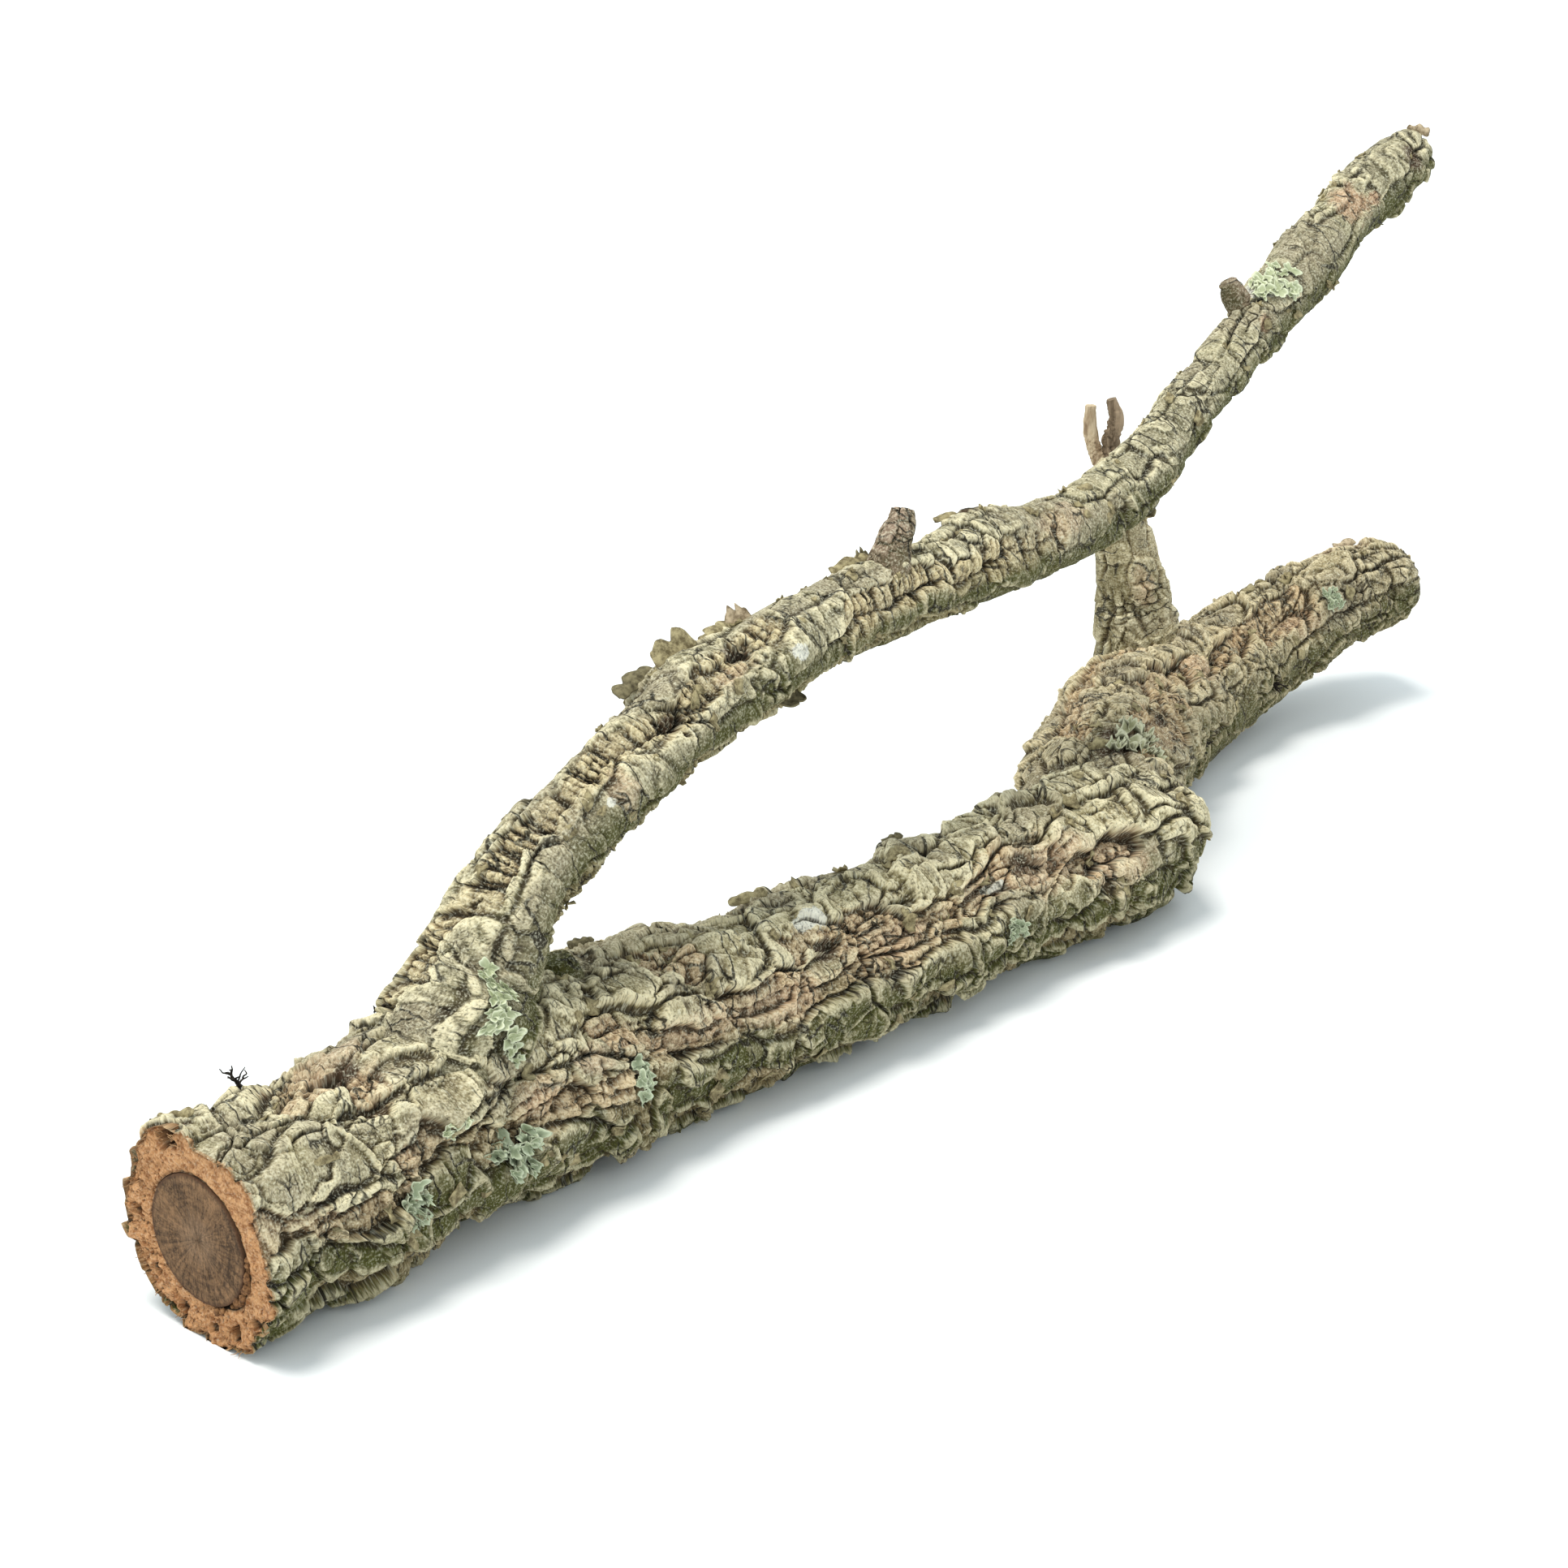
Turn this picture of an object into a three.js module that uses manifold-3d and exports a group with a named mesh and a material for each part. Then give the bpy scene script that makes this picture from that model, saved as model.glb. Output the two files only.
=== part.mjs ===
import * as THREE from 'three';
import { mergeVertices } from 'three/addons/utils/BufferGeometryUtils.js';
import Module from 'manifold-3d';

// A fallen cork-barked branch, about 600 mm long, lying on the ground.
// Millimetres, +Z up, +X along the thick stem away from its sawn end, -Y the side with the deepest furrows.
// The origin is the middle of the underside of the whole branch.

const wasm = await Module();
wasm.setup();

// Middle lines of the limbs, as rows of x, y, z and bark radius.
const STEM_ROWS = [
  [0, 0, 27, 27.4], [24, 1, 27, 28], [50, 3, 28, 28.6], [75, 4, 28, 28.4], [100, 4, 27, 27.6],
  [128, 5, 26, 26.2], [156, 5, 25, 25.2], [188, 3, 24, 24.4], [220, 2, 23.6, 24], [254, 2, 23, 23.8],
  [290, 1, 23, 23.6], [324, 0, 23, 23.8], [350, 0, 23, 23.8], [368, 1, 22, 21.5], [380, 2, 21, 17],
];
const UPPER_ROWS = [
  [72, 3, 28, 19], [82, 3, 44, 21], [88, 3, 54, 20], [94, 4, 63, 17], [101, 4, 73, 14.6],
  [112, 5, 84, 12.6], [130, 6, 94, 12.6], [153, 8, 103, 12.7], [178, 10, 111, 13], [204, 12, 116, 12.8],
  [232, 15, 119, 12], [260, 17, 120, 11.6], [293, 20, 120, 11.5], [327, 22, 119, 11.2], [361, 25, 120, 11.2],
  [388, 27, 126, 10.6], [413, 29, 139, 9.4], [438, 31, 151, 9], [463, 33, 164, 9.6], [486, 35, 176, 11.2],
  [509, 37, 187, 10.2], [531, 38, 196, 10.6], [547, 40, 201, 10.2], [557, 41, 204, 7.4],
];
const BACK_ROWS = [
  [345, 6, 24, 20], [362, 16, 25, 24.5], [388, 32, 25, 25], [424, 51, 24, 24.4], [456, 62, 23, 23.2],
  [486, 67, 22, 22], [512, 69, 26, 20], [534, 66, 31, 19.5], [554, 62, 36, 17.8], [572, 57, 39, 16.4],
  [582, 52, 41, 14.4], [587, 50, 42, 10],
];
const TWIG_ROWS = [
  [464, 70, 14, 17], [465, 76, 32, 17], [463, 78, 46, 14.4], [462, 80, 58, 12.8], [460, 81, 70, 10.6],
  [459, 83, 84, 8.1], [457, 85, 97, 6.1], [455, 87, 105, 5],
];
const SPUR_ROWS = [[263, 17, 124, 8], [264, 17, 129, 6.8], [266, 17, 136, 5.2], [269, 17, 141, 4.4], [271, 18, 145, 3.2]];
const BUD_ROWS = [[455, 36, 168, 4.6], [452, 37, 173, 4.2], [450, 38, 177, 3]];
const KNOB_ROWS = [[128, 8, 44, 7], [127, 9, 52, 5.4], [126, 9, 56, 3.6]];
const RIGHT_PRONG_ROWS = [[455, 87, 103, 3.4], [455.5, 87, 114, 3], [456.5, 86, 121, 2.6], [455, 87.5, 128, 1.8]];
const LEFT_PRONG_ROWS = [[453.5, 88.5, 103, 3], [451, 90.5, 111, 2.6], [450, 92, 118, 2.4], [450, 92, 126, 1.7]];

// The wood inside the stem: its radius at the saw cut and deep inside, its depth, and the split around it.
const WOOD_RADIUS = 17;
const WOOD_INNER_RADIUS = 11;
const WOOD_DEPTH = 330;
const WOOD_OVERSHOOT = 2;
const MOUTH_SPLIT = 1.4;
const MOUTH_DEPTH = 7;
const FIT_GAP = 0.35;
const JOINT_GAP = 0.45;

// Plates of bark: ridges around (an even number), plate length, crack depth, crack half width and height step.
const STEM_PLATES = { ridges: 10, plateLength: 27, depth: 4, width: 2.6, step: 3.4 };
const UPPER_PLATES = { ridges: 6, plateLength: 19, depth: 1.8, width: 1.9, step: 1.8 };
const BACK_PLATES = { ridges: 10, plateLength: 22, depth: 3.4, width: 2.4, step: 3 };
const TWIG_PLATES = { ridges: 6, plateLength: 15, depth: 1.6, width: 1.8, step: 1.4 };

// Deep furrows between the cork ridges: depth, half width, and rows of distance along and angle from the top.
const STEM_FURROWS = [
  { depth: 6, width: 4, path: [[0, 72], [10, 72], [24, 78], [37, 90], [47, 90]] },
  { depth: 7, width: 4.5, path: [[45, 60], [65, 76], [83, 80], [97, 74], [113, 88], [130, 94]] },
  { depth: 7.5, width: 5, path: [[138, 72], [152, 66], [178, 64], [194, 74], [209, 72], [222, 62], [251, 62],
    [269, 50], [290, 44], [302, 50], [319, 66], [333, 60]] },
  { depth: 6, width: 5, path: [[34, -4], [43, 0], [49, 22]] },
  { depth: 4, width: 4, path: [[74, 10], [83, 20], [88, 34]] },
  { depth: 6, width: 5, path: [[121, 48], [128, 52], [138, 62]] },
  { depth: 4, width: 4, path: [[147, 14], [159, 22], [159, 36]] },
  { depth: 5, width: 4.5, path: [[196, 40], [208, 44], [224, 36]] },
  { depth: 5, width: 5, path: [[20, 130], [90, 142], [170, 128], [250, 136], [330, 124]] },
  { depth: 5, width: 5, path: [[10, -70], [80, -84], [150, -72], [230, -86], [320, -70]] },
  { depth: 4.5, width: 5, path: [[60, -140], [160, -128], [260, -142], [340, -130]] },
];
const UPPER_FURROWS = [
  { depth: 4, width: 4, path: [[30, -30], [48, -14], [73, 12], [90, 18], [114, 24], [127, 38], [157, 16], [172, 20]] },
  { depth: 3, width: 4, path: [[200, 70], [230, 62], [262, 74], [300, 60]] },
  { depth: 3, width: 4, path: [[60, 130], [120, 142], [180, 128], [250, 140]] },
  { depth: 2.4, width: 3.5, path: [[300, -60], [340, -48], [380, -62]] },
];
const BACK_FURROWS = [
  { depth: 5, width: 5, path: [[24, 34], [60, 40], [96, 30], [128, 44], [166, 34], [206, 42]] },
  { depth: 5, width: 5, path: [[30, -20], [70, -32], [110, -18], [150, -30]] },
  { depth: 4.5, width: 5, path: [[40, -90], [90, -104], [150, -92], [210, -104]] },
];

// Lumps and pits: distance along, angle from the top, height (pits are negative) and radius.
const STEM_LUMPS = [
  [60, 52, 3.5, 11], [82, 36, 4.5, 9], [8, -26, 3, 9], [14, 40, 2, 10], [108, 30, 3, 9], [118, 66, 3, 8],
  [170, 40, 3, 12], [190, 90, 3, 12], [232, 84, 3, 10], [246, 34, 3, 11], [284, 74, 3.5, 11], [300, 24, 3, 10],
  [330, 88, 4, 12], [346, 40, 4.5, 12], [366, 64, 4.5, 9], [372, 10, 3, 9], [208, 44, -4, 4], [146, -30, 3, 9],
  [212, -40, 3, 12], [300, -36, 3, 12], [40, 128, 2.5, 12], [130, 110, 3, 11], [262, 112, 3, 12],
];
const UPPER_LUMPS = [
  [127, 40, -3.5, 4.5], [158, 16, -4, 5], [277, -24, 5, 13], [146, -20, 2, 9], [170, 60, 1.6, 9], [108, 60, 2, 9],
  [62, -16, 2.5, 10], [60, 50, 2.5, 10], [30, 40, 3, 11], [216, 10, 2, 8], [250, 60, 1.8, 9], [304, 40, 2, 9],
  [340, -10, 2, 9], [366, 70, 1.8, 8], [392, 0, 1.6, 8], [470, 40, 1.2, 8], [498, 10, 1.2, 7], [520, 30, 1.4, 6],
];
const BACK_LUMPS = [
  [18, 50, 4.5, 11], [44, 16, 3.5, 11], [70, 66, 4, 12], [96, 6, 3.5, 11], [120, 74, 3.5, 11], [142, 8, 3, 10],
  [164, 60, 3, 10], [190, 14, 2.6, 9], [214, 56, 2.6, 9], [238, -10, 3, 9], [36, -50, 3, 11], [100, -60, 3, 12],
];

// Flakes of bark that stand up from the upper limb: distance along, angle, length, height and lean in degrees.
const UPPER_FLAKES = [
  [134, -44, 12, 6, -10], [148, -38, 13, 7, 8], [166, -34, 14, 7, -6], [171, 138, 9, 7, 12], [219, -26, 13, 6, 8],
];
const FLAKE_THICKNESS = 2;
const FLAKE_ROOT = 3;

// Lichens: node name, limb, distance along, angle, size, number of lobes and turn in degrees.
const LICHENS = [
  ['lichen_fork', 'upper', 38, 66, 8, 4, 20],
  ['lichen_near_block', 'stem', 60, 59, 4.5, 3, 60],
  ['lichen_twin_lobes', 'stem', 81, 85, 7, 4, 100],
  ['lichen_near_saw_cut', 'stem', 44, 91, 6, 4, 10],
  ['lichen_mid_stem', 'stem', 126, 79, 5.5, 3, 40],
  ['lichen_far_stem', 'stem', 277, 85, 5, 3, 80],
  ['lichen_elbow', 'back', 27, 26, 9.5, 5, 0],
  ['lichen_rear_limb', 'back', 214, 53, 5.5, 3, 30],
  ['lichen_high_limb', 'upper', 443, 14, 7.5, 4, 50],
];
const LICHEN_SIDES = 15;
const LICHEN_RISE = 1.7;
const LICHEN_ROOT = 2.2;
const LICHEN_LOBE_DEPTH = 0.15;

// Facets: sides around and rings along each limb.
const STEM_FACETS = [38, 46];
const UPPER_FACETS = [15, 60];
const BACK_FACETS = [24, 26];
const TWIG_FACETS = [14, 12];
const SPUR_FACETS = [7, 4];
const PRONG_FACETS = [8, 4];
const WOOD_FACETS = [20, 6];

const UP = new THREE.Vector3(0, 0, 1);
const TOWARDS_SAW_CUT = new THREE.Vector3(-1, 0, 0);
const DEGREES = Math.PI / 180;

// Height of a V-shaped furrow at a point of the bark, from its distance to the furrow's path.
function furrowRelief(furrows, along, angle, radius) {
  let lowest = 0;
  for (const { depth, width, path } of furrows) {
    for (let i = 1; i < path.length; i++) {
      const [startAlong, startAngle] = path[i - 1];
      const [endAlong, endAngle] = path[i];
      const perDegree = radius * DEGREES;
      const runAlong = endAlong - startAlong;
      const runAround = (endAngle - startAngle) * perDegree;
      const offAlong = along - startAlong;
      const offAround = wrapDegrees(angle - startAngle) * perDegree;
      const share = (offAlong * runAlong + offAround * runAround) / (runAlong ** 2 + runAround ** 2);
      const nearest = THREE.MathUtils.clamp(share, 0, 1);
      const distance = Math.hypot(offAlong - nearest * runAlong, offAround - nearest * runAround);
      lowest = Math.min(lowest, -depth * Math.exp(-((distance / width) ** 2)));
    }
  }
  return lowest;
}

function wrapDegrees(angle) {
  return angle - 360 * Math.round(angle / 360);
}

// Height of the smooth lumps and pits at a point of the bark.
function lumpRelief(lumps, along, angle, radius) {
  let height = 0;
  for (const [lumpAlong, lumpAngle, lumpHeight, lumpRadius] of lumps) {
    const around = wrapDegrees(angle - lumpAngle) * DEGREES * radius;
    const distance = Math.hypot(along - lumpAlong, around);
    height += lumpHeight * Math.exp(-((distance / lumpRadius) ** 2));
  }
  return height;
}

// A number from 0 to 1 that belongs to one plate of bark, from its row along and its column around.
function plateChance(row, column, salt) {
  const wave = Math.sin(row * 127.1 + column * 311.7 + salt * 74.7) * 43758.5453;
  return wave - Math.floor(wave);
}

// Height of the bark's plates: wandering lengthwise ridges, each broken across into staggered blocks.
// Every point belongs to the plate whose seed is nearest, and cracks run where two seeds are equally near.
function plateRelief(along, angle, radius, { ridges, plateLength, depth, width, step }) {
  const drift = 0.35 * Math.sin(along / 41) + 0.2 * Math.sin(along / 17 + 1.3);
  const around = angle / 360 * ridges + drift;
  const row = along / plateLength;
  const plateWidth = 2 * Math.PI * radius / ridges;
  const near = [];
  for (let i = Math.floor(row) - 2; i <= Math.floor(row) + 1; i++) {
    for (let j = Math.floor(around) - 1; j <= Math.floor(around) + 1; j++) {
      const column = ((j % ridges) + ridges) % ridges;
      const seedRow = i + 0.5 * (column % 2) + 0.6 * plateChance(i, column, 1);
      const seedAround = j + 0.5 + 0.4 * (plateChance(i, column, 2) - 0.5);
      const offAlong = (row - seedRow) * plateWidth;
      const offAround = (around - seedAround) * plateWidth;
      const height = plateChance(i, column, 3) - 0.5;
      near.push({ distance: Math.hypot(offAlong, offAround), offAlong, offAround, height });
    }
  }
  near.sort((a, b) => a.distance - b.distance);
  const [first, second] = near;
  const edge = (second.distance - first.distance) / 2;
  const apartAround = Math.abs(second.offAround - first.offAround);
  const sideways = apartAround / Math.hypot(apartAround, second.offAlong - first.offAlong);
  const crack = depth * (0.4 + 0.6 * sideways) * Math.exp(-((edge / width) ** 2));
  return step * first.height * (1 - Math.exp(-((edge / width) ** 2))) - crack;
}

// A limb is a curved middle line with a girth along it and a bark relief around it.
class Limb {
  constructor(rows, up, bark) {
    this.middle = curveThrough(rows.map(([x, y, z]) => new THREE.Vector3(x, y, z)));
    this.girth = curveThrough(rows.map((row) => new THREE.Vector3(row[3], 0, 0)));
    this.length = this.middle.getLength();
    this.up = up;
    this.bark = bark;
  }

  // Point at a distance along, an angle from the top in degrees, and a lift above the bark.
  // The share is 1 on the bark and 0 on the middle line.
  point(along, angle, lift = 0, share = 1) {
    const t = this.middle.getUtoTmapping(THREE.MathUtils.clamp(along / this.length, 0, 1));
    const tangent = this.middle.getTangent(t);
    const side = new THREE.Vector3().crossVectors(tangent, this.up).normalize();
    const top = new THREE.Vector3().crossVectors(side, tangent);
    const radius = this.girth.getPoint(t).x;
    const reach = share * (radius + this.relief(along, angle, radius) + lift);
    return this.middle.getPoint(t)
      .addScaledVector(top, reach * Math.cos(angle * DEGREES))
      .addScaledVector(side, reach * Math.sin(angle * DEGREES));
  }

  relief(along, angle, radius) {
    if (!this.bark) return 0;
    const { plates, furrows = [], lumps = [], fadeIn = 0 } = this.bark;
    const fade = fadeIn ? THREE.MathUtils.smoothstep(along, fadeIn / 2, fadeIn) : 1;
    return fade * plateRelief(along, angle, radius, plates) + furrowRelief(furrows, along, angle, radius)
      + lumpRelief(lumps, along, angle, radius);
  }

  // Closed faceted tube of the limb, its bark raised by the given swell.
  tube([sides, rings], swell = 0) {
    const geometry = new THREE.CylinderGeometry(1, 1, 1, sides, rings);
    return reshape(geometry, (x, y, z) => {
      const angle = Math.atan2(x, z) / DEGREES;
      return this.point((y + 0.5) * this.length, angle, swell, Math.min(1, Math.hypot(x, z)));
    });
  }
}

function curveThrough(points) {
  return new THREE.CatmullRomCurve3(points, false, 'catmullrom', 0.5);
}

// Moves every vertex of a geometry class's shape to where the mapping puts it, and returns the solid.
function reshape(geometry, mapping) {
  const position = geometry.attributes.position;
  for (let i = 0; i < position.count; i++) {
    const target = mapping(position.getX(i), position.getY(i), position.getZ(i));
    position.setXYZ(i, target.x, target.y, target.z);
  }
  return toSolid(geometry);
}

function toSolid(geometry) {
  geometry.deleteAttribute('normal');
  geometry.deleteAttribute('uv');
  const merged = mergeVertices(geometry, 1e-3);
  return new wasm.Manifold(new wasm.Mesh({
    numProp: 3,
    vertProperties: new Float32Array(merged.attributes.position.array),
    triVerts: new Uint32Array(merged.index.array),
  }));
}

// The largest of the separate pieces that a cut leaves.
function largestPiece(solid) {
  return solid.decompose().reduce((best, piece) => (piece.volume() > best.volume() ? piece : best));
}

function toMesh(name, solid, material) {
  const { numProp, vertProperties, triVerts } = solid.getMesh();
  const positions = new Float32Array(vertProperties.length / numProp * 3);
  for (let i = 0; i < positions.length / 3; i++) {
    positions.set(vertProperties.subarray(i * numProp, i * numProp + 3), i * 3);
  }
  const geometry = new THREE.BufferGeometry();
  geometry.setAttribute('position', new THREE.BufferAttribute(positions, 3));
  geometry.setIndex(new THREE.BufferAttribute(new Uint32Array(triVerts), 1));
  geometry.computeVertexNormals();
  const mesh = new THREE.Mesh(geometry, material);
  mesh.name = name;
  return mesh;
}

// Everything below the ground plane, with which the worn underside is cut flat.
function groundBlock() {
  const size = 1400;
  const block = new THREE.BoxGeometry(size, size, 100);
  block.translate(0, 0, -50);
  return toSolid(block);
}

// A bark flake: a thin slab that stands on the bark and leans along the limb.
function makeFlake(limb, [along, angle, length, height, lean]) {
  const slab = new THREE.BoxGeometry(length, FLAKE_THICKNESS, height + FLAKE_ROOT, 2, 1, 2);
  slab.translate(0, 0, (height - FLAKE_ROOT) / 2);
  return reshape(slab, (x, y, z) => {
    const narrowing = 1 - 0.45 * Math.max(0, z) / height;
    const tilt = Math.tan(lean * DEGREES) * z;
    const curl = (x / length) ** 2 * 4;
    const around = (y + curl + 0.25 * z) / (limb.girth.getPoint(0.5).x * DEGREES);
    return limb.point(along + x * narrowing + tilt, angle - around, z);
  });
}

// A lichen: a lobed crust that follows the bark and stands a little above it.
function makeLichen(limb, along, angle, size, lobes, turn) {
  const disc = new THREE.CylinderGeometry(1, 1, 1, LICHEN_SIDES, 1);
  return reshape(disc, (x, y, z) => {
    const way = Math.atan2(x, z);
    const lobe = 1 - LICHEN_LOBE_DEPTH + LICHEN_LOBE_DEPTH * Math.cos(lobes * (way + turn * DEGREES));
    const reach = size * lobe * Math.min(1, Math.hypot(x, z));
    const around = reach * Math.sin(way) / (limb.girth.getPoint(0.5).x * DEGREES);
    return limb.point(along - reach * Math.cos(way), angle + around, y > 0 ? LICHEN_RISE : -LICHEN_ROOT);
  });
}

// The wood's middle line is the stem's, cut off at the wood's depth and thinning inwards.
function woodLimb(extraAtMouth, extra) {
  const stem = new Limb(STEM_ROWS, UP, null);
  const stations = [-WOOD_OVERSHOOT * (extra > 0), MOUTH_DEPTH, WOOD_DEPTH * 0.33, WOOD_DEPTH * 0.66, WOOD_DEPTH + extra];
  const rows = stations.map((along, index) => {
    const middle = stem.point(Math.max(0, along), 0, 0, 0);
    const start = Math.min(0, along);
    const radius = THREE.MathUtils.lerp(WOOD_RADIUS, WOOD_INNER_RADIUS, Math.max(0, along) / WOOD_DEPTH);
    return [middle.x + start, middle.y, middle.z, radius + (index === 0 ? extraAtMouth : extra)];
  });
  return new Limb(rows, UP, null);
}

function makeMaterials() {
  const standard = (color, roughness) => new THREE.MeshStandardMaterial({ color, roughness, metalness: 0 });
  return {
    corkBark: standard(0xa29a78, 0.92),
    thinBark: standard(0x918c6f, 0.9),
    twigBark: standard(0x857b5e, 0.9),
    heartwood: standard(0x7a6046, 0.8),
    bareWood: standard(0xc2a586, 0.75),
    lichen: standard(0xa1a589, 0.95),
  };
}

// The whole branch: each solid is cut back from the one that it grows from.
function makeBranch() {
  const ground = groundBlock();
  const materials = makeMaterials();
  const stem = new Limb(STEM_ROWS, UP, {
    plates: STEM_PLATES, furrows: STEM_FURROWS, lumps: STEM_LUMPS,
  });
  const upper = new Limb(UPPER_ROWS, UP, {
    plates: UPPER_PLATES, furrows: UPPER_FURROWS, lumps: UPPER_LUMPS, fadeIn: 30,
  });
  const back = new Limb(BACK_ROWS, UP, {
    plates: BACK_PLATES, furrows: BACK_FURROWS, lumps: BACK_LUMPS,
  });
  const twig = new Limb(TWIG_ROWS, TOWARDS_SAW_CUT, { plates: TWIG_PLATES });
  const plain = (rows) => new Limb(rows, TOWARDS_SAW_CUT, null);

  const knob = plain(KNOB_ROWS).tube(SPUR_FACETS);
  const stemWhole = stem.tube(STEM_FACETS).add(knob).subtract(ground);
  const bore = woodLimb(MOUTH_SPLIT, FIT_GAP).tube(WOOD_FACETS);
  const stemSolid = largestPiece(stemWhole.subtract(bore));
  const woodSolid = woodLimb(0, 0).tube(WOOD_FACETS);
  const stemCutter = stem.tube(STEM_FACETS, JOINT_GAP).add(plain(KNOB_ROWS).tube(SPUR_FACETS, JOINT_GAP));

  let upperSolid = upper.tube(UPPER_FACETS).add(plain(SPUR_ROWS).tube(SPUR_FACETS));
  upperSolid = upperSolid.add(plain(BUD_ROWS).tube(SPUR_FACETS));
  for (const flake of UPPER_FLAKES) {
    upperSolid = upperSolid.add(makeFlake(upper, flake));
  }
  upperSolid = largestPiece(upperSolid.subtract(stemCutter));

  const backWhole = back.tube(BACK_FACETS).subtract(ground);
  const backSolid = largestPiece(backWhole.subtract(stemCutter));
  const backCutter = back.tube(BACK_FACETS, JOINT_GAP);
  const twigSolid = largestPiece(twig.tube(TWIG_FACETS).subtract(backCutter));
  const prongs = plain(RIGHT_PRONG_ROWS).tube(PRONG_FACETS).add(plain(LEFT_PRONG_ROWS).tube(PRONG_FACETS));
  const twigTop = TWIG_ROWS.at(-1).map((value, axis) => value + (axis === 2 ? JOINT_GAP : 0));
  const tallerTwig = new Limb([...TWIG_ROWS.slice(0, -1), twigTop], TOWARDS_SAW_CUT, twig.bark);
  const prongSolid = largestPiece(prongs.subtract(tallerTwig.tube(TWIG_FACETS, JOINT_GAP)));

  const branch = new THREE.Group();
  branch.add(
    toMesh('main_stem', stemSolid, materials.corkBark),
    toMesh('wood_core', woodSolid, materials.heartwood),
    toMesh('upper_limb', upperSolid, materials.thinBark),
    toMesh('back_limb', backSolid, materials.corkBark),
    toMesh('upright_twig', twigSolid, materials.twigBark),
    toMesh('bare_twig_wood', prongSolid, materials.bareWood),
  );

  const limbs = { stem, upper, back };
  const forkCutter = stemCutter.add(upper.tube(UPPER_FACETS, FIT_GAP));
  const cutters = { stem: forkCutter, upper: forkCutter, back: backCutter.add(stemCutter) };
  for (const [name, limbName, along, angle, size, lobes, turn] of LICHENS) {
    const crust = makeLichen(limbs[limbName], along, angle, size, lobes, turn);
    const trimmed = largestPiece(crust.subtract(cutters[limbName]).subtract(ground));
    branch.add(toMesh(name, trimmed, materials.lichen));
  }
  return branch;
}

// Puts the origin at the middle of the branch's underside.
function centreOnUnderside(branch) {
  const box = new THREE.Box3().setFromObject(branch);
  const middle = box.getCenter(new THREE.Vector3());
  branch.position.set(-middle.x, -middle.y, -box.min.z);
  const holder = new THREE.Group();
  holder.add(branch);
  return holder;
}

export default centreOnUnderside(makeBranch());
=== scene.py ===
import itertools
import math

import bpy
import numpy as np
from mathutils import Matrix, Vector


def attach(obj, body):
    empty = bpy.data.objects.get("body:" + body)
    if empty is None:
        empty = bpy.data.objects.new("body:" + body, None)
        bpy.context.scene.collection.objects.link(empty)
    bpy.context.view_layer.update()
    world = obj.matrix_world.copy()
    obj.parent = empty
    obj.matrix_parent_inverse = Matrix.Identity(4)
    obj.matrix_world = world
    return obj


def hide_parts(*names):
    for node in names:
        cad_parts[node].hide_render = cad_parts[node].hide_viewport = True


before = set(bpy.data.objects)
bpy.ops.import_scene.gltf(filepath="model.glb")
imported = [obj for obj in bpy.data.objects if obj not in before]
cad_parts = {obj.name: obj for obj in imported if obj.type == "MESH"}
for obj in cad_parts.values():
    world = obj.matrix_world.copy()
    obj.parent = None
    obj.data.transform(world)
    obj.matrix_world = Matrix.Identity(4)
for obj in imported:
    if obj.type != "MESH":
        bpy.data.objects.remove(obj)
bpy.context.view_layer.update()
print("frame loaded with", len(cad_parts), "solids")

mm = 0.001
originShift = np.array([-294.7263, -33.5268, 0.0])  # from the limbs' own millimetres to the part's origin

# Limbs

# Lengths are in mm, and angles in degrees from the limb's top, positive towards the camera's side.
# rows: x, y, z and bark radius along the middle line. up: the direction that angle 0 faces.
# plates: how many ridges round the limb, and the length, cracks and steps of the plates in them.
# furrows: depth, width and path of distance along and angle. lumps: distance along, angle, height, spread.
# stains: patches of distance along, angle, reach along and reach around; pale ones lighten the crust.
# grid: rings along and points round. pieces: how many meshes. salt: picks its own chances.
# tilt, lamella, layer, lines, furrowShare, roughness: strengths of one kind of relief each.
# chunk: how far blocks break up the furrows and lumps. smooth: more of it leaves fewer small plates.
# scales: size, height and crack depth of the small plates. fadeIn: mm in which the relief grows to full.
# sawn: whether the start is a saw cut, near which the relief is lower.
limbBasics = {
    "up": (0, 0, 1), "furrows": [], "lumps": [], "stains": {}, "fadeIn": 0, "pieces": 1, "sawn": False,
}
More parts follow.
